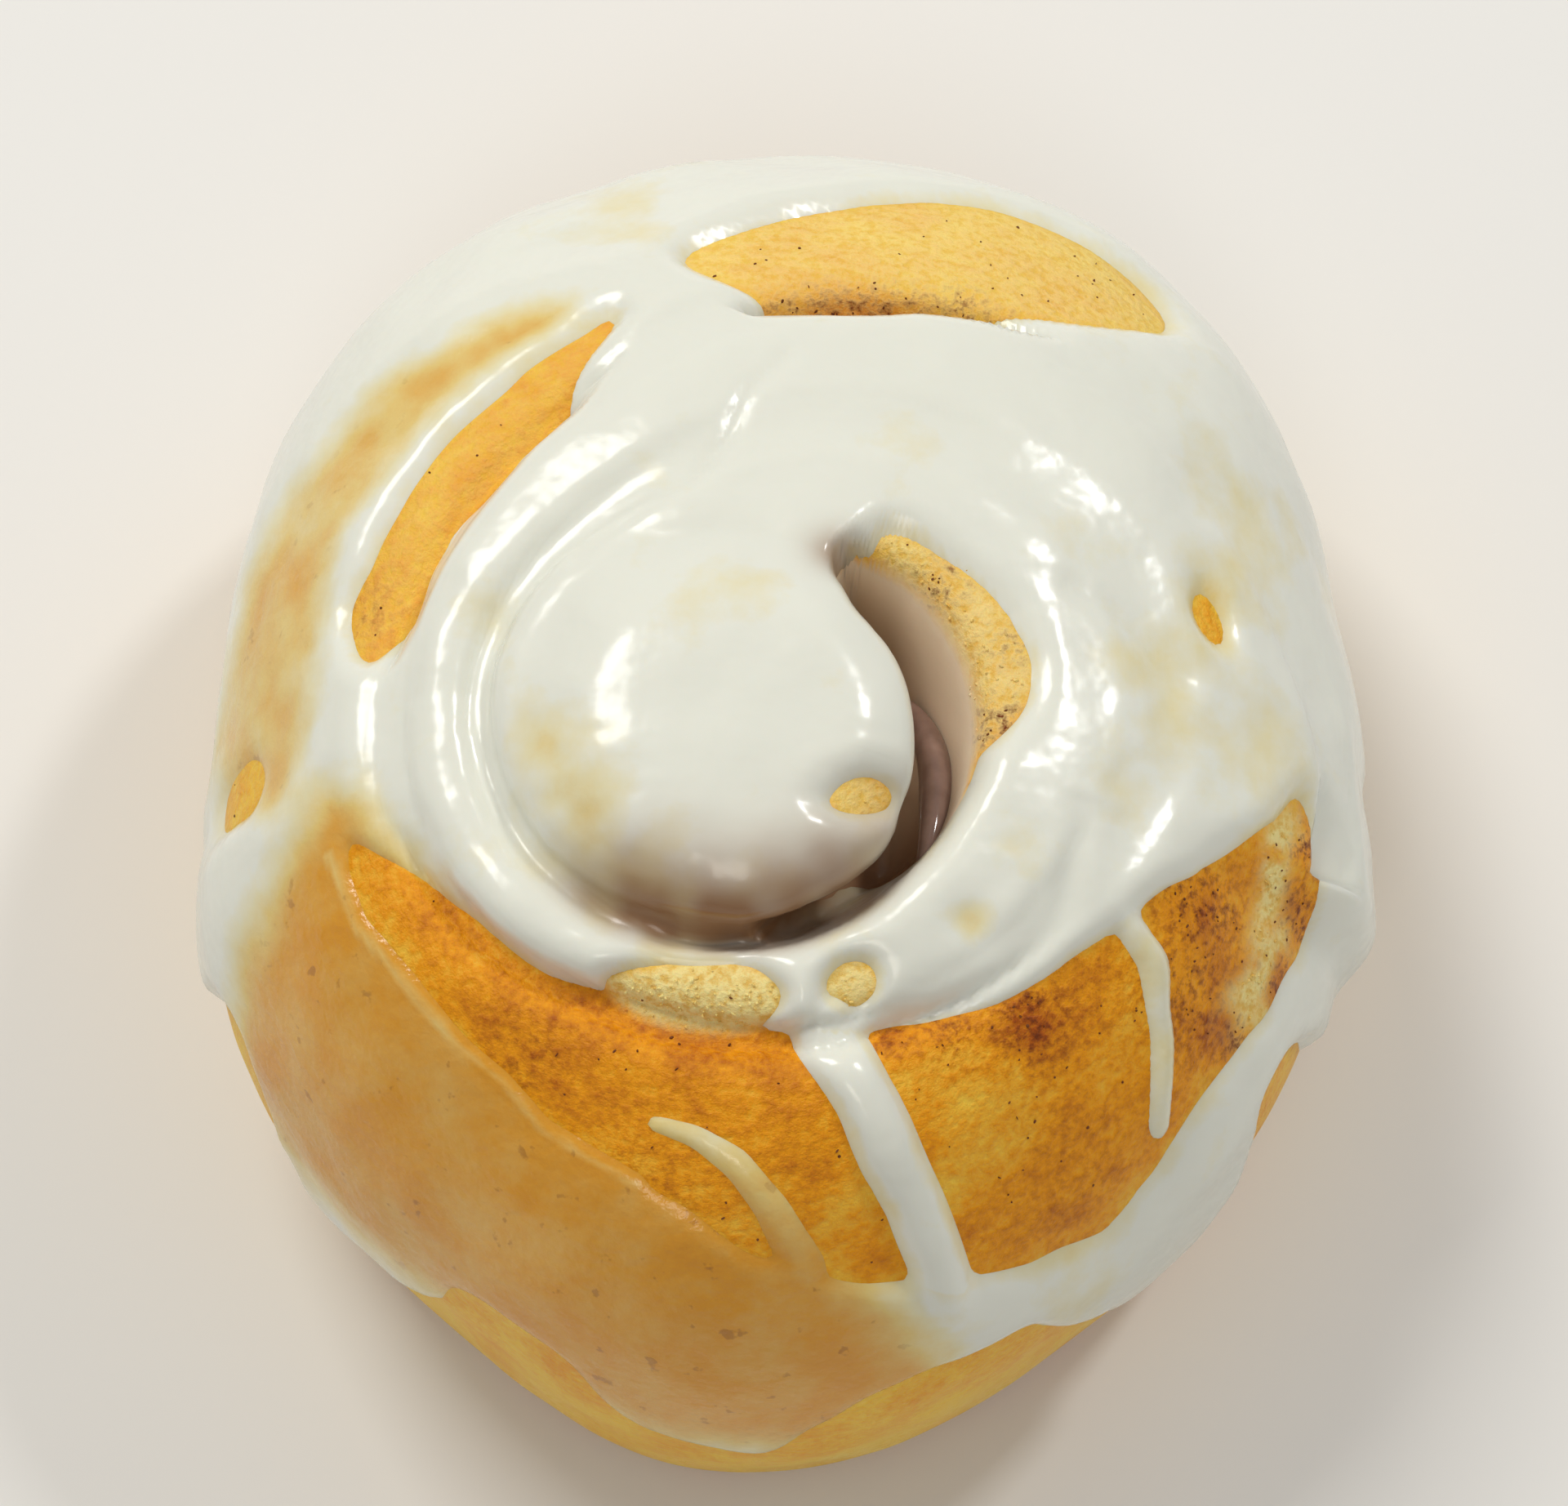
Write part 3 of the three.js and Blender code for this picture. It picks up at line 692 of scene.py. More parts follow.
# %% Dough mesh
def dough_finish(bearing, level, parts):
    """The numbers that the dough's finish reads, for each point."""
    r, z, _, _, x, y = parts
    torn = torn_edge(bearing, r, x, y, z)
    crumb = crumb_share(level, x, y, z, torn)
    spice = spice_share(bearing, level, r, x, y, z, torn)
    # The front crust is baked the darkest on top, and the foot darker still.
    front = zone("front", x, y, 1.5)
    bake = PLAIN_BAKE + FRONT_BAKE * front + 0.08 * zone("left", x, y, 1) + 0.16 * lumps(x, y, z, 6, 41)
    bake = bake + 0.12 * front * np.exp(-((r - 20) / 3) ** 2) - 0.1 * ramp(level, 1.1, 1.8)
    bake = bake + FOOT_BAKE * ramp(level, 1.9, 2.02) + 0.42 * spice
    # The spiral shows faintly on the underside.
    swirl = np.mod(r / 9 + bearing / 360, 1)
    under = ramp(level, 2.0, 2.05) * np.exp(-((swirl - 0.5) / 0.09) ** 2)
    # Painted shade: the gap's walls darken with depth, and sooner towards the front, under the coil.
    # The coil's side of the gap is milky near the rim.
    below = groove_depth(bearing, r) * (level < 1)
    angle = np.mod(SPIRAL_START - bearing, 360)
    line = spiral_radius(angle)
    in_gap = (1 - ramp(angle, 125, 155)) * (r < line + 5) * (1 - zone("lens", x, y, 0.3))
    to_front = ramp(angle, 50, 95)
    shade_depth = blend(GAP_SHADE_DEPTH, FRONT_GAP_SHADE_DEPTH, to_front)
    gap = ramp(below, 0.95, shade_depth) ** 0.75 * blend(0.55, 1.0, to_front) * in_gap
    return {
        "bake": np.clip(bake + 0.3 * under, 0, 1),
        "crumb": np.clip(crumb, 0, 1),
        "spice": np.clip(np.maximum(spice, 0.6 * under), 0, 1),
        "gap": gap,
        "milk": np.where(r < line, 1 - ramp(below, 3.5, 8), 0),
    }


def make_dough():
    height, parts = dough_height(bearings, levels)
    points = points_at(bearings, parts, height).reshape(-1, 3)
    finish = dough_finish(bearings, levels, parts)
    top_height, top_parts = dough_height(*PEAK)
    top = points_at(0.0, [p[0, 0] for p in top_parts], top_height[0, 0])
    foot = to_frame(0.0, 0.0, 0.0)
    faces = [
        grid_cells(), pole_fan(len(points), FIRST_ROW),
        pole_fan(len(points) + 1, FIRST_ROW + GRID_ROWS - 1)[:, ::-1],
    ]
    values = {key: np.concatenate([v.ravel(), [v[0, 0], v[0, -1]]]) for key, v in finish.items()}
    return mesh_object("dough_bun", np.vstack([points, top, foot]), faces, values)


def size_in_mm(piece):
    """The piece's reach along X, Y and Z."""
    return [round(v / MM, 1) for v in piece.dimensions]


dough = make_dough()
print("dough:", len(dough.data.polygons), "faces, size mm", size_in_mm(dough))

# %% [markdown]
# ## The icing
# The icing is a closed shell: an outer face at the icing's height and an inner face just under the crust.
# Cells that would lie wholly under bare crust are left out, and short walls close the shell round each such
# hole. Where two holes would touch in one point, the cells round it are kept, so the shell stays closed and
# clean. Two numbers go with it for its finish: how well it covers the dough, and how much brown is painted
# on it beside the gap, partly for a cinnamon stain and partly as painted shade under the front of the coil.

# %% Icing mesh
ICING_DEEP, KEPT_ABOVE, MENDING_ROUNDS = 0.9, -0.3, 4
STAIN_SHADE_INWARD, STAIN_SHADE_OUTWARD = 4.2, 0.8
STAINED_SHADED_TIP = (61, 13.8, 1.7)


def icing_finish(thickness, edge, thin, parts):
    """How well the icing covers the dough, and the brown of stain and painted shade beside the gap."""
    film = np.clip(thickness / 0.95, 0, 1) * (edge <= 0) * (1 - 0.5 * thin)
    layer = (1 - 0.72 * thin) * (0.8 + 0.2 * ramp(edge, 0, 0.6))
    angle = np.mod(SPIRAL_START - bearings, 360)
    r, _, _, _, x, y = parts
    inward = spiral_radius(angle) - r
    beside = np.where(inward > 0, inward / STAIN_SHADE_INWARD, inward / STAIN_SHADE_OUTWARD)
    # Painted shade and a cinnamon stain: a brown band along the foot of the coil's front, beside the crevice.
    stain_and_shade = 1.2 * np.exp(-beside ** 2) * ramp(angle, 60, 125) * (1 - ramp(angle, 175, 222))
    stain_and_shade = np.clip(stain_and_shade * (0.88 + 0.3 * lumps(x, y, 0, 1.6, 37)), 0, 1)
    # A brown spot at the gap's tip: painted shade in the cleft, with some cinnamon stain.
    stain_and_shade = np.maximum(stain_and_shade, 0.75 * spot_at(x, y, *STAINED_SHADED_TIP))
    return {"cover": np.maximum(film, layer), "stain_and_shade": stain_and_shade}


def make_icing():
    height, thickness, under, parts, edge, thin = icing_height(bearings, levels)
    outside = points_at(bearings, parts, height).reshape(-1, 3)
    inside = points_at(bearings, parts, np.minimum(under, height) - ICING_DEEP).reshape(-1, 3)
    shift = len(outside)
    every_cell = grid_cells()
    kept = (thickness > KEPT_ABOVE).ravel()[every_cell].any(-1)
    for _ in range(MENDING_ROUNDS):
        cells = every_cell[kept]
        edges = np.stack([cells, np.roll(cells, -1, 1)], -1).reshape(-1, 2)
        key = edges[:, 0] * shift + edges[:, 1]
        rim = edges[~np.isin(key, edges[:, 1] * shift + edges[:, 0])]
        rim = rim[(rim % GRID_ROWS).any(-1)]
        pinched = np.bincount(rim[:, 0], minlength=shift) > 1
        kept = kept | pinched[every_cell].any(-1)
    walls = np.stack([rim[:, 1], rim[:, 0], rim[:, 0] + shift, rim[:, 1] + shift], -1)
    faces = [
        cells, cells[:, ::-1] + shift, walls,
        pole_fan(2 * shift, FIRST_ROW), pole_fan(2 * shift + 1, FIRST_ROW + shift)[:, ::-1],
    ]
    top_height, _, top_dough, top_parts, _, _ = icing_height(*PEAK)
    middle = [p[0, 0] for p in top_parts]
    ends = [points_at(0.0, middle, top_height[0, 0]), points_at(0.0, middle, top_dough[0, 0] - ICING_DEEP)]
    finish = icing_finish(thickness, edge, thin, parts)
    values = {k: np.concatenate([v.ravel(), v.ravel(), [v[0, 0], v[0, 0]]]) for k, v in finish.items()}
    return mesh_object("icing_coat", np.vstack([outside, inside, *ends]), faces, values)


icing = make_icing()
print("icing:", len(icing.data.polygons), "faces, size mm", size_in_mm(icing))

# %% [markdown]
# ## The filling
# Between the turns lies cinnamon sugar that the oven turned into a dark, moist seam. It shows in the gap,
# in the tear at the back and at the loose end. It is a thin upright ribbon along the spiral with a crumbly
# top edge. Its section is a row of places across it, each with how far it lies below the top, or none at
# the foot.

# %% Filling ribbon
FILLING_HALF, FILLING_FOOT, FILLING_STEP = 0.4, 2.0, 1.5
FILLING_SUNK, FILLING_SHOWN = 0.9, 1.1
FILLING_SECTION = [(-1, None), (-1, 0.7), (-0.8, 0.2), (0, 0), (0.8, 0.2), (1, 0.7), (1, None)]


def level_at(bearing, r):
    """The level on the dome at a bearing and a radius."""
    share = r / outline_radius(bearing)
    for _ in range(4):
        share = np.clip(r / outline_radius(bearing, share), 0, 0.985)
    return np.arcsin(share ** (SHOULDER_ROUND / 2)) / (math.pi / 2)


def make_filling():
    angle = np.arange(0, SPIRAL_END, FILLING_STEP)
    bearing = SPIRAL_START - angle
    r = spiral_radius(angle)
    height, (_, z, _, _, x, y) = dough_height(bearing, level_at(bearing, r))
    shows = ramp(angle, 685, 700) * (1 - ramp(angle, 735, 760))
    top = z + height - FILLING_SUNK + FILLING_SHOWN * shows + 0.35 * lumps(x, y, z, 1.4, 51)
    half = FILLING_HALF * (1 + 0.25 * lumps(x, y, z, 2.2, 52))
    lines = []
    for side, drop in FILLING_SECTION:
        px, py = plan(bearing, r + side * half)
        pz = np.full(len(angle), FILLING_FOOT) if drop is None else top - drop
        lines.append(to_frame(px, py, pz))
    points = np.stack(lines, 1).reshape(-1, 3)
    return mesh_object("filling_seam", points, tube_faces(len(angle), len(FILLING_SECTION)))


filling = make_filling()
print("filling:", len(filling.data.polygons), "faces")

# %% [markdown]
# ## The syrup in the gap
# Sugar and cinnamon melt together in the oven and run down the torn wall beside the coil, where they set as
# one dark, glossy strand. It is a short tube that thins out at both ends and leans from the coil to the
# outer wall.

# %% Syrup strand
SYRUP_RINGS, SYRUP_SIDES = 60, 16
SYRUP_FROM, SYRUP_TO = 30.0, -30.0
SYRUP_HALF, SYRUP_TALL = 1.12, 1.5


def make_syrup():
    along = np.linspace(0, 1, SYRUP_RINGS)
    bearing = blend(SYRUP_FROM, SYRUP_TO, along)
    line = spiral_radius(SPIRAL_START - bearing)
    centre = line + np.interp(along, [0, 0.3, 0.65, 1], [-1.5, -1.1, -0.4, 0.7])
    _, z = skin_path(bearing, level_at(bearing, line))
    centre_z = z - np.interp(along, [0, 0.4, 0.7, 1], [8.4, 6.4, 5.2, 4.2])
    half = SYRUP_HALF * np.sin(math.pi * (along * 0.94 + 0.03)) ** 0.6
    turn = np.linspace(2 * math.pi, 0, SYRUP_SIDES, endpoint=False)
    px, py = plan(bearing[:, None], centre[:, None] + half[:, None] * np.cos(turn))
    pz = centre_z[:, None] + SYRUP_TALL * half[:, None] * np.sin(turn)
    points = to_frame(px, py, pz).reshape(-1, 3)
    return mesh_object("syrup_strand", points, tube_faces(SYRUP_RINGS, SYRUP_SIDES))


syrup = make_syrup()
print("syrup:", len(syrup.data.polygons), "faces")

# %% [markdown]
# ## Materials
# One small function adds a node with its settings and its links. The short ones after it use it for what
# every finish needs: a number from the mesh, a noise, a sum, a change of range, a mix of two colours, bumps
# and the surface itself. Colours are given as sRGB hex values, the way a colour picker reads them, and one
# function turns them into the linear values that Blender works with. Patterns read Object coordinates,
# which are in metres, so 1000 divided by a size in millimetres is the scale that gives patches of about
# that size.

# %% Material helpers
MM_IN_METRE = 1000
# The sockets of a Mix node have the same names for numbers and for colours, so they are told by their place.
FACTOR, PLAIN_A, PLAIN_B, COLOUR_A, COLOUR_B, COLOUR_OUT = 0, 2, 3, 6, 7, 2


def linear(hex_colour):
    """An sRGB hex colour as linear red, green, blue and alpha."""
    values = [int(hex_colour[i:i + 2], 16) / 255 for i in (1, 3, 5)]
    return [v / 12.92 if v <= 0.04045 else ((v + 0.055) / 1.055) ** 2.4 for v in values] + [1.0]


def add(tree, kind, inputs=None, **settings):
    """Adds a node; an input may be a value or another node's socket."""
    made = tree.nodes.new(kind)
    for key, value in settings.items():
        setattr(made, key, value)
    for key, value in (inputs or {}).items():
        if isinstance(value, bpy.types.NodeSocket):
            tree.links.new(value, made.inputs[key])
        else:
            made.inputs[key].default_value = value
    return made


def carried(tree, key):
    """A number that the mesh carries on its points."""
    return add(tree, "ShaderNodeAttribute", attribute_name=key).outputs["Fac"]


def noise(tree, spot, size, detail, roughness=0.5):
    """A noise from 0 to 1, whose patches are about one size across, in millimetres."""
    return add(tree, "ShaderNodeTexNoise", {
        "Vector": spot, "Scale": MM_IN_METRE / size, "Detail": detail, "Roughness": roughness,
    }).outputs["Fac"]


def reckon(tree, operation, *values, clamp=False):
    """A sum of values or sockets, named as Blender's Math node names it."""
    made = add(tree, "ShaderNodeMath", dict(enumerate(values)), operation=operation, use_clamp=clamp)
    return made.outputs[0]


def remap(tree, value, old, new=(0, 1)):
    """A value moved from its old range to a new one and kept inside that."""
    return add(tree, "ShaderNodeMapRange", {
        "Value": value, "From Min": old[0], "From Max": old[1], "To Min": new[0], "To Max": new[1],
    }).outputs[0]


def mix(tree, share, a, b):
    """The colour from a at a share of 0 to b at 1; each is a socket or a hex colour."""
    a, b = [linear(colour) if isinstance(colour, str) else colour for colour in (a, b)]
    inputs = {FACTOR: share, COLOUR_A: a, COLOUR_B: b}
    return add(tree, "ShaderNodeMix", inputs, data_type="RGBA").outputs[COLOUR_OUT]


def bumps(tree, height, strength, distance):
    """The direction of a bumpy surface, whose bumps are up to a distance high, in millimetres."""
    inputs = {"Height": height, "Strength": strength, "Distance": distance * MM}
    return add(tree, "ShaderNodeBump", inputs).outputs[0]


def add_surface(tree, inputs):
    """The shader of a surface, joined to the material's output."""
    shader = add(tree, "ShaderNodeBsdfPrincipled", inputs)
    add(tree, "ShaderNodeOutputMaterial", {"Surface": shader.outputs[0]})


def set_stops(node, stops):
    """Fills a colour ramp node with stops, each a position and a colour."""
    made = node.color_ramp.elements
    for element, (position, colour) in zip(made, (stops[0], stops[-1])):
        element.position, element.color = position, linear(colour)
    for position, colour in stops[1:-1]:
        made.new(position).color = linear(colour)


def start_material(name):
    """A new material with an empty node tree."""
    material = bpy.data.materials.new(name)
    material.use_nodes = True
    material.node_tree.nodes.clear()
    return material, material.node_tree


print("golden crust as linear values:", [round(v, 3) for v in linear("#FACB44")])

# %% [markdown]
# ## Baked dough
# The crust is dough browned by the oven: golden where it is light, nut brown where it is dark, with a faint
# sheen from the butter. It was stretched as it was rolled up, so its fine streaks run round the coil: their
# noise reads the distance from the pole, and hardly the place along the turn. Where the crust is torn, soft
# pale yellow crumb shows, which is dull and full of pores about half a millimetre wide. Inside the gap the
# melted sugar makes the walls wet and mauve brown, painted darker with depth as painted shade, with a
# milky film where icing has run down.

# %% Baked dough
GOLDEN, TOASTED, BROWN = "#FACB44", "#F09C06", "#B05606"
CRUMB, CRUMB_SHADE, SPICE = "#FBE69A", "#E8BE60", "#743204"
WET, WET_DEEP_SHADE, MILKY = "#F4E0C4", "#9C7658", "#F2EBDA"
STREAK_MM, PATCH_MM, PORE_MM, STREAK_STRETCH = 1.3, 4, 0.6, 0.009


def crust_noise(tree):
    """Streaks that follow the turns, browned patches and fine pores, each a noise from 0 to 1."""
    spot = add(tree, "ShaderNodeTexCoord").outputs["Object"]
    pole = (POLE[0] * MM, POLE[1] * MM, 0)
    centred = add(tree, "ShaderNodeVectorMath", {0: spot, 1: pole}, operation="SUBTRACT")
    flat = add(tree, "ShaderNodeVectorMath", {0: centred.outputs[0], 1: (1, 1, 0)}, operation="MULTIPLY")
    away = add(tree, "ShaderNodeVectorMath", {0: flat.outputs[0]}, operation="LENGTH")
    outward = add(tree, "ShaderNodeCombineXYZ", {"Z": away.outputs["Value"]})
    facing = add(tree, "ShaderNodeVectorMath", {0: flat.outputs[0]}, operation="NORMALIZE")
    along = add(tree, "ShaderNodeVectorMath", {
        0: facing.outputs[0], 1: (STREAK_STRETCH, STREAK_STRETCH, 0), 2: outward.outputs[0],
    }, operation="MULTIPLY_ADD")
    streaks = noise(tree, along.outputs[0], STREAK_MM, 7, 0.72)
    return streaks, noise(tree, spot, PATCH_MM, 6, 0.7), noise(tree, spot, PORE_MM, 4, 0.6)


def baked_dough():
    material, tree = start_material("Baked dough crust")
    bake, crumb, spice, gap, milk = [carried(tree, k) for k in ("bake", "crumb", "spice", "gap", "milk")]
    streaks, patches, grain = crust_noise(tree)
    # The crust's tone is how dark it is baked, made uneven by the three noises.
    streaked = reckon(tree, "MULTIPLY_ADD", streaks, 0.9, -0.45)
    browned = reckon(tree, "MULTIPLY_ADD", patches, 1.0, -0.5)
    fibres = reckon(tree, "MULTIPLY_ADD", grain, 0.7, -0.35)
    marbled = reckon(tree, "ADD", reckon(tree, "ADD", streaked, browned), fibres)
    crust = add(tree, "ShaderNodeValToRGB", {"Fac": reckon(tree, "ADD", bake, marbled, clamp=True)})
    set_stops(crust, [(0.0, GOLDEN), (0.5, TOASTED), (1.0, BROWN)])
    # Crumb, then dust of cinnamon, then the wet walls of the gap are laid over it.
    crumb_colour = mix(tree, remap(tree, grain, (0.36, 0.56)), CRUMB_SHADE, CRUMB)
    torn = mix(tree, crumb, crust.outputs["Color"], crumb_colour)
    dust = reckon(tree, "MULTIPLY_ADD", grain, 6.0, -2.9)
    spiced = mix(tree, reckon(tree, "MULTIPLY", dust, spice, clamp=True), torn, SPICE)
    # Painted shade: the gap's walls run from the wet rim colour to a darker one with depth.
    sugary = mix(tree, milk, mix(tree, gap, WET, WET_DEEP_SHADE), MILKY)
    wet = remap(tree, gap, (0, 0.06))
    colour = mix(tree, wet, spiced, sugary)
    # Crumb is dull and the gap glossy, and the pores show everywhere but in the gap.
    dull = remap(tree, crumb, (0, 1), (0.4, 0.8))
    rough = add(tree, "ShaderNodeMix", {FACTOR: wet, PLAIN_A: dull, PLAIN_B: 0.14})
    pores = reckon(tree, "MULTIPLY_ADD", grain, 1.0, streaks)
    rise = remap(tree, gap, (0, 0.03), (0.5, 0.04))
    add_surface(tree, {
        "Base Color": colour, "Roughness": rough.outputs[0], "Normal": bumps(tree, pores, rise, 0.5),
        "IOR": 1.45, "Specular IOR Level": 0.28, "Subsurface Weight": 0.08, "Subsurface Scale": 1 * MM})
    return material


crust_material = baked_dough()

# %% [markdown]
# ## Sugar icing
# Icing is powdered sugar in a little water. A thick layer is white with a cool tint and scatters light
# inside, so its shadows stay soft. A thin layer is see-through: the crust makes it amber to beige, and
# flecks of cinnamon show in it. Beside the gap it is painted brown, partly for a cinnamon stain and partly
# as painted shade under the front of the coil. It sets with a wet gloss and faint waves.

# %% Sugar icing
ICING_TONES = [(0.0, "#CE7C10"), (0.25, "#DF9D2E"), (0.48, "#E6CA7E"), (0.7, "#E8DEB4"), (0.92, "#E9E9DC")]
FLECK, STAIN_AND_SHADE = "#8A4E22", "#9C7552"
CLOUD_MM, FLECK_MM, WAVE_MM, RIPPLE_MM = 5, 1.5, 3.2, 0.7


def sugar_icing():
    material, tree = start_material("Sugar icing")
    spot = add(tree, "ShaderNodeTexCoord").outputs["Object"]
    cover, stain_and_shade = carried(tree, "cover"), carried(tree, "stain_and_shade")
    # How well the layer covers is made cloudy, more so where it is thick enough to look milky.
    cloud = reckon(tree, "SUBTRACT", noise(tree, spot, CLOUD_MM, 5, 0.6), 0.5)
    patchy = remap(tree, cover, (0.35, 0.7), (0.34, 0.62))
    layer = reckon(tree, "MULTIPLY_ADD", cloud, patchy, cover, clamp=True)
    tones = add(tree, "ShaderNodeValToRGB", {"Fac": layer})
    set_stops(tones, ICING_TONES)
    # Flecks of cinnamon show only where the layer is thin.
    flecks = remap(tree, noise(tree, spot, FLECK_MM, 3), (0.66, 0.71))
    seen = reckon(tree, "MULTIPLY", flecks, remap(tree, layer, (0.6, 0.15), (0, 0.55)))
    # The brown beside the gap is painted shade under the coil's front, with a cinnamon stain.
    colour = mix(tree, stain_and_shade, mix(tree, seen, tones.outputs["Color"], FLECK), STAIN_AND_SHADE)
    # Broad waves everywhere, and fine ripples where the layer is only a film over the crust.
    broad, fine = noise(tree, spot, WAVE_MM, 2), noise(tree, spot, RIPPLE_MM, 3)
    waves = reckon(tree, "MULTIPLY_ADD", fine, remap(tree, layer, (0.7, 0.3), (0, 0.6)), broad)
    add_surface(tree, {
        "Base Color": colour, "Roughness": 0.2, "Normal": bumps(tree, waves, 0.38, 0.4), "IOR": 1.47,
        "Subsurface Weight": 0.35, "Subsurface Radius": (1.0, 0.85, 0.7), "Subsurface Scale": 1.2 * MM})
    return material


icing_material = sugar_icing()

# %% [markdown]
# ## Cinnamon filling
# Cinnamon sugar melts into a dark brown, grainy paste with a dull wet shine.

# %% Cinnamon filling
PASTE_DARK, PASTE_LIGHT, PASTE_GRAIN_MM = "#44200C", "#8A4E22", 0.8


def cinnamon_paste():
    material, tree = start_material("Cinnamon sugar paste")
    spot = add(tree, "ShaderNodeTexCoord").outputs["Object"]
    grain = noise(tree, spot, PASTE_GRAIN_MM, 4)
    colour = mix(tree, grain, PASTE_DARK, PASTE_LIGHT)
    add_surface(tree, {
        "Base Color": colour, "Roughness": 0.6, "Normal": bumps(tree, grain, 0.6, 0.3), "IOR": 1.45,
        "Specular IOR Level": 0.3})
    return material


filling_material = cinnamon_paste()

# %% [markdown]
# ## Set syrup
# The syrup is sugar darkened by cinnamon. It is smooth and wet, a mauve brown that light enters a little.

# %% Set syrup
SYRUP_DARK, SYRUP_LIGHT, SYRUP_SWIRL_MM = "#6E5448", "#A98A7C", 1.6


def set_syrup():
    material, tree = start_material("Set cinnamon syrup")
    spot = add(tree, "ShaderNodeTexCoord").outputs["Object"]
    colour = mix(tree, noise(tree, spot, SYRUP_SWIRL_MM, 3), SYRUP_DARK, SYRUP_LIGHT)
    add_surface(tree, {
        "Base Color": colour, "Roughness": 0.1, "IOR": 1.47,
        "Subsurface Weight": 0.15, "Subsurface Scale": 1 * MM})
    return material


syrup_material = set_syrup()
finishes = {dough: crust_material, icing: icing_material, filling: filling_material, syrup: syrup_material}
for piece, material in finishes.items():
    piece.data.materials.append(material)
print("finishes:", [material.name for material in finishes.values()])

# %% [markdown]
# ## Grains and crumbs
# Ground cinnamon sticks to the bare crust as dark grains, and torn places shed pale crumbs. Both repeat
# hundreds of times, so Geometry Nodes scatter them over the dough's mesh, as densely as a number on its
# points says. Each is a small ball, turned and squashed at random, and there are so many that a few faces
# will do.

# %% Scatter tree
def scatter(name, host_mesh, where, density, radius, seed, material):
    """Spreads small rough lumps over a mesh and returns them as one plain mesh object."""
    tree = bpy.data.node_groups.new(name, "GeometryNodeTree")
    face = tree.interface
    face.new_socket("Geometry", in_out="INPUT", socket_type="NodeSocketGeometry")
    for label in ("Density", "Radius"):
        face.new_socket(label, in_out="INPUT", socket_type="NodeSocketFloat")
    face.new_socket("Geometry", in_out="OUTPUT", socket_type="NodeSocketGeometry")
    source = add(tree, "NodeGroupInput").outputs
    weight = add(tree, "GeometryNodeInputNamedAttribute", {"Name": where}, data_type="FLOAT")
    amount = reckon(tree, "MULTIPLY", weight.outputs[0], source["Density"])
    points = add(tree, "GeometryNodeDistributePointsOnFaces", {
        "Mesh": source["Geometry"], "Density": amount, "Seed": seed})
    lump = add(tree, "GeometryNodeMeshIcoSphere", {"Radius": source["Radius"], "Subdivisions": 1})
    turn = add(tree, "FunctionNodeRandomValue", {
        0: (0, 0, 0), 1: (6.28, 6.28, 6.28), "Seed": seed + 1}, data_type="FLOAT_VECTOR")
    size = add(tree, "FunctionNodeRandomValue", {
        0: (0.5, 0.4, 0.3), 1: (1.5, 1.1, 0.8), "Seed": seed + 2}, data_type="FLOAT_VECTOR")
    placed = add(tree, "GeometryNodeInstanceOnPoints", {
        "Points": points.outputs["Points"], "Instance": lump.outputs["Mesh"],
        "Rotation": turn.outputs[0], "Scale": size.outputs[0]})
    real = add(tree, "GeometryNodeRealizeInstances", {"Geometry": placed.outputs[0]})
    painted = add(tree, "GeometryNodeSetMaterial", {"Geometry": real.outputs[0], "Material": material})
    add(tree, "NodeGroupOutput", {"Geometry": painted.outputs[0]})
    host = bpy.data.objects.new(name, host_mesh)
    bpy.context.scene.collection.objects.link(host)
    modifier = host.modifiers.new("Scatter", "NODES")
    modifier.node_group = tree
    wanted = {"Density": density, "Radius": radius}
    for item in face.items_tree:
        if item.item_type == "SOCKET" and item.in_out == "INPUT" and item.name in wanted:
            modifier[item.identifier] = wanted[item.name]
    seen = host.evaluated_get(bpy.context.evaluated_depsgraph_get())
    mesh = bpy.data.meshes.new_from_object(seen)
    host.modifiers.clear()
    host.data = mesh
    mesh.name = name
    return host


# %% Grains and crumbs
GRAINS_PER_M2, GRAIN_RADIUS, GRAIN_SEED = 2.2e6, 0.12 * MM, 5
CRUMBS_PER_M2, CRUMB_RADIUS, CRUMB_SEED = 4.5e6, 0.15 * MM, 9
GAP_STARTS = 0.02


def add_weights(piece):
    """Stores on the dough how many grains and how many crumbs lie at each point."""
    mesh = piece.data
    count = len(mesh.vertices)
    flat = np.empty(count * 3)
    mesh.vertices.foreach_get("co", flat)
    x, y, z = flat.reshape(-1, 3).T / MM
    x, y = x - POLE[0], y - POLE[1]
    bare = np.zeros(count)
    for flat_map in island_maps.values():
        bare = np.maximum(bare, 1 - ramp(look_up(flat_map, x, y), -0.9, -0.2))
    bare = bare * ramp(z, 19, 21) * (1 - ramp(look_up(drips, x, y), -0.3, 0.0))
    stored = {}
    for key in ("spice", "crumb", "gap"):
        stored[key] = np.empty(count, np.float32)
        mesh.attributes[key].data.foreach_get("value", stored[key])
    outside_gap = stored["gap"] < GAP_STARTS
    weights = {
        "grains": bare * (0.04 + 0.7 * stored["spice"] ** 2) * outside_gap,
        "crumbs": bare * np.clip(stored["crumb"] - 0.5, 0, 1) * outside_gap,
    }
    for key, values in weights.items():
        mesh.attributes.new(key, "FLOAT", "POINT").data.foreach_set("value", values.astype(np.float32))


add_weights(dough)
grains = scatter("cinnamon_grains", dough.data, "grains", GRAINS_PER_M2, GRAIN_RADIUS, GRAIN_SEED,
                 filling_material)
crumbs = scatter("dough_crumbs", dough.data, "crumbs", CRUMBS_PER_M2, CRUMB_RADIUS, CRUMB_SEED,
                 crust_material)
for piece in (grains, crumbs):
    print(piece.name, len(piece.data.polygons), "faces")

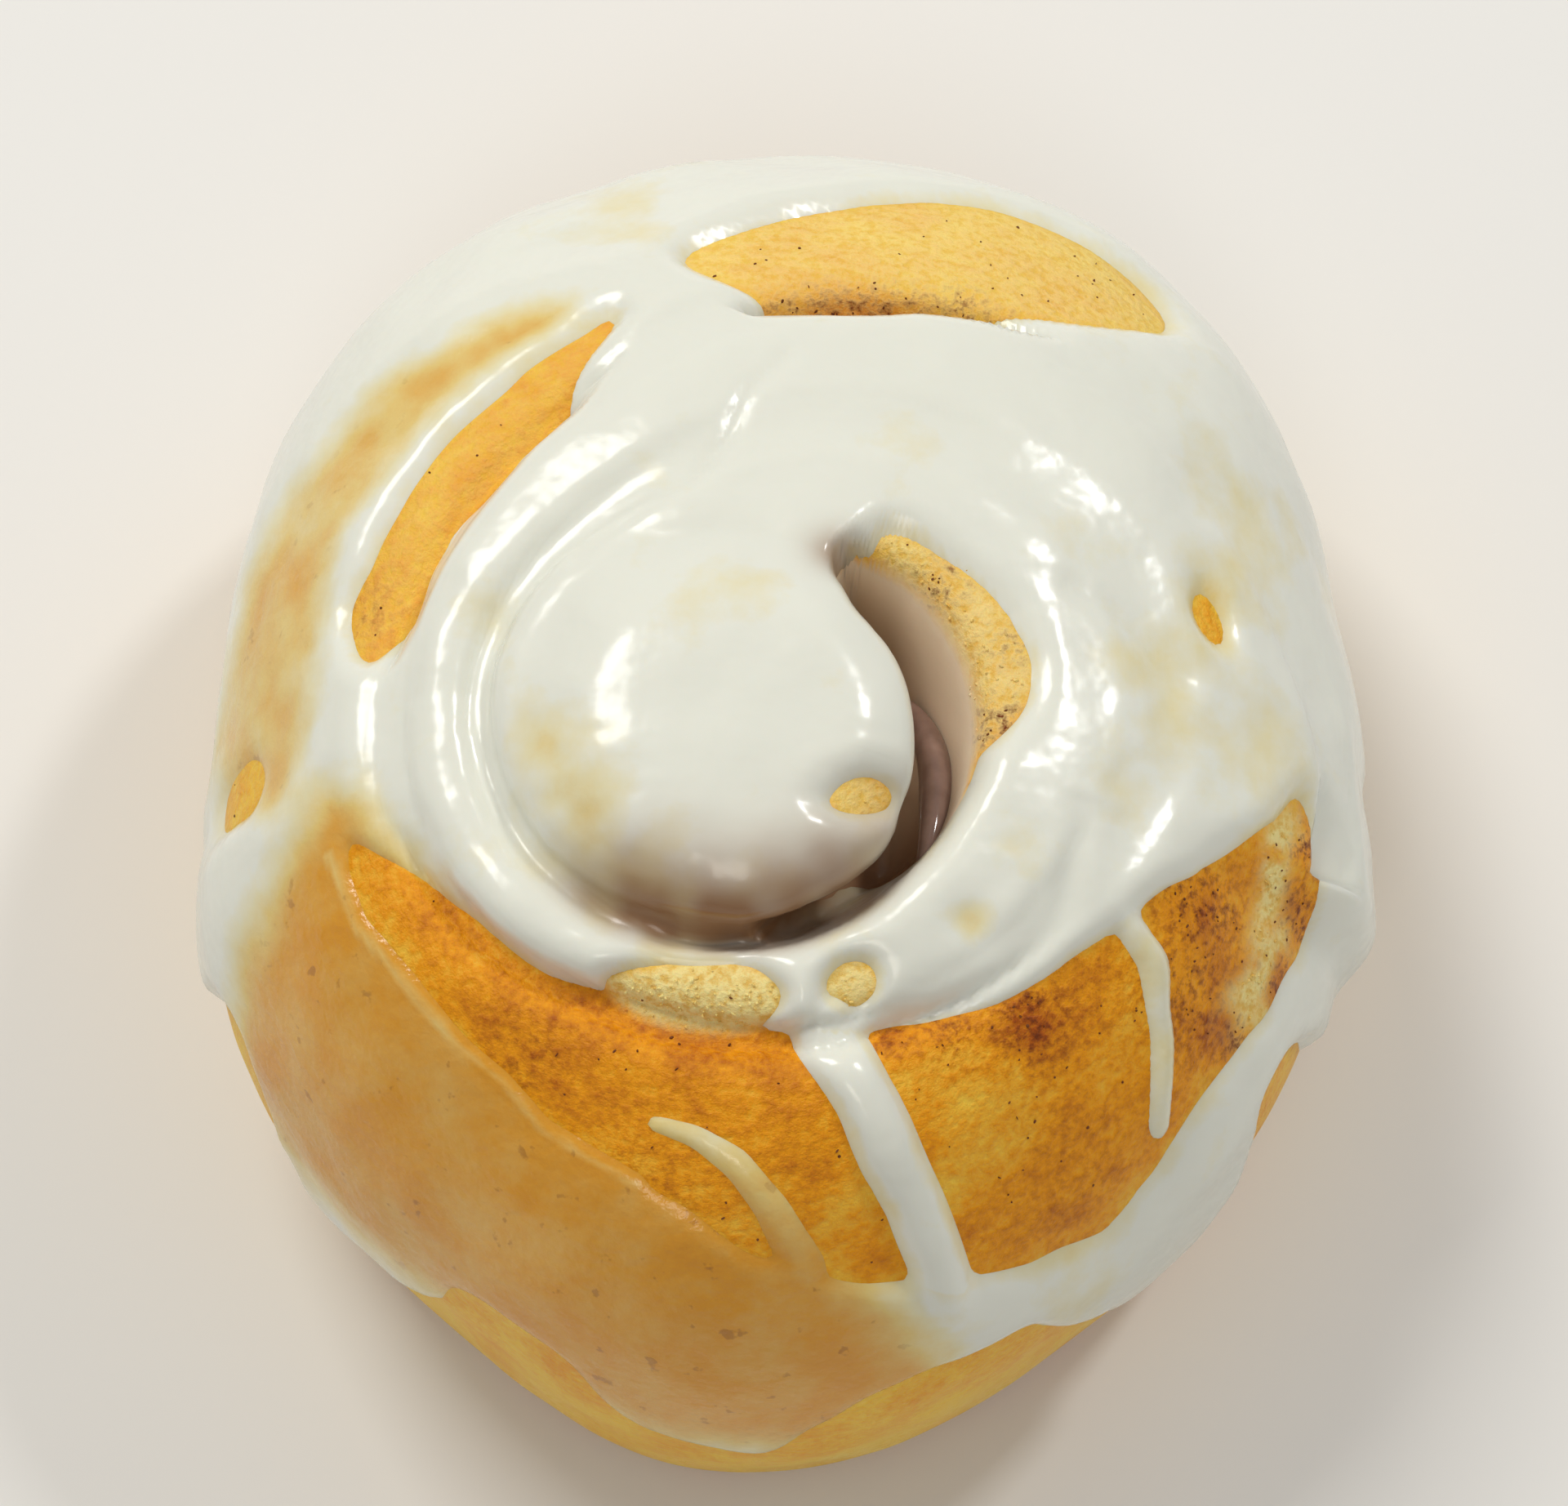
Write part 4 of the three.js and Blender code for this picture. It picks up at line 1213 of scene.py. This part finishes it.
# %% [markdown]
# ## Riding and replacing
# Every piece rides on the one body of this part. A table names the stuff that each piece is made of, but
# nothing reads it. The three main meshes stand for the three solids of the CAD, which are hidden.

# %% Hand the pieces to the frame
slots = {
    dough: "dough", filling: "filling", icing: "icing",
    grains: "filling", crumbs: "dough", syrup: "filling",
}
for piece, slot in slots.items():
    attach(piece, "root")
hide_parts("dough")
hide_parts("filling")
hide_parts("icing")

# %% [markdown]
# ## Stage, light and camera
# The roll stands on a plain pale floor. A broad soft light from the back left models the form, a smaller
# one draws clear highlights on the wet icing, a weak one from the front opens the gap, and a pale world
# fills the shadows. The camera looks down steeply from the front, as close as a hand-held one would be.

# %% Floor
FLOOR_HALF = 2.0
floor_mesh = bpy.data.meshes.new("floor")
floor_corners = [(x * FLOOR_HALF, y * FLOOR_HALF, 0) for x, y in ((-1, -1), (1, -1), (1, 1), (-1, 1))]
floor_mesh.from_pydata(floor_corners, [], [(0, 1, 2, 3)])
floor = bpy.data.objects.new("floor", floor_mesh)
bpy.context.scene.collection.objects.link(floor)
floor_material, floor_tree = start_material("Pale matt board")
add_surface(floor_tree, {"Base Color": linear("#EDEBE6"), "Roughness": 0.8})
floor_mesh.materials.append(floor_material)

# %% Lights
AIM = Vector((0.0, 0.0, 0.028))


def soft_light(name, azimuth, elevation, distance, size, power, colour):
    """A square soft box that faces the roll."""
    lamp = bpy.data.lights.new(name, "AREA")
    lamp.size, lamp.energy, lamp.color = size, power, linear(colour)[:3]
    a, e = math.radians(azimuth), math.radians(elevation)
    spot = AIM + distance * Vector((math.cos(e) * math.cos(a), math.cos(e) * math.sin(a), math.sin(e)))
    made = bpy.data.objects.new(name, lamp)
    facing = (spot - AIM).to_track_quat("Z", "Y").to_matrix().to_4x4()
    made.matrix_world = Matrix.Translation(spot) @ facing
    bpy.context.scene.collection.objects.link(made)


soft_light("key", 128, 52, 0.9, 0.32, 3.9, "#FFFDF8")
soft_light("sparkle", 40, 50, 0.8, 0.09, 1.5, "#FFFFFF")
soft_light("front_fill", -96, 56, 0.9, 0.26, 0.95, "#FFF8EC")
world = bpy.data.worlds.new("Pale room")
bpy.context.scene.world = world
world.use_nodes = True
world.node_tree.nodes.clear()
sky = add(world.node_tree, "ShaderNodeBackground", {"Color": linear("#F4F6FA"), "Strength": 0.34})
add(world.node_tree, "ShaderNodeOutputWorld", {"Surface": sky.outputs[0]})
bpy.context.scene.view_settings.view_transform = "Standard"

# %% Camera
CAMERA_ELEVATION, CAMERA_DISTANCE = 69.0, 0.315
LENS, SENSOR_WIDTH, NEAREST = 112, 36, 0.01
camera_data = bpy.data.cameras.new("camera")
camera_data.lens = LENS
camera_data.sensor_width = SENSOR_WIDTH
camera_data.clip_start = NEAREST
camera = bpy.data.objects.new("camera", camera_data)
tilt = math.radians(CAMERA_ELEVATION)
camera_spot = AIM + CAMERA_DISTANCE * Vector((0, -math.cos(tilt), math.sin(tilt)))
camera.matrix_world = Matrix.Translation(camera_spot) @ Matrix.Rotation(math.radians(90) - tilt, 4, "X")
bpy.context.scene.collection.objects.link(camera)
bpy.context.scene.camera = camera
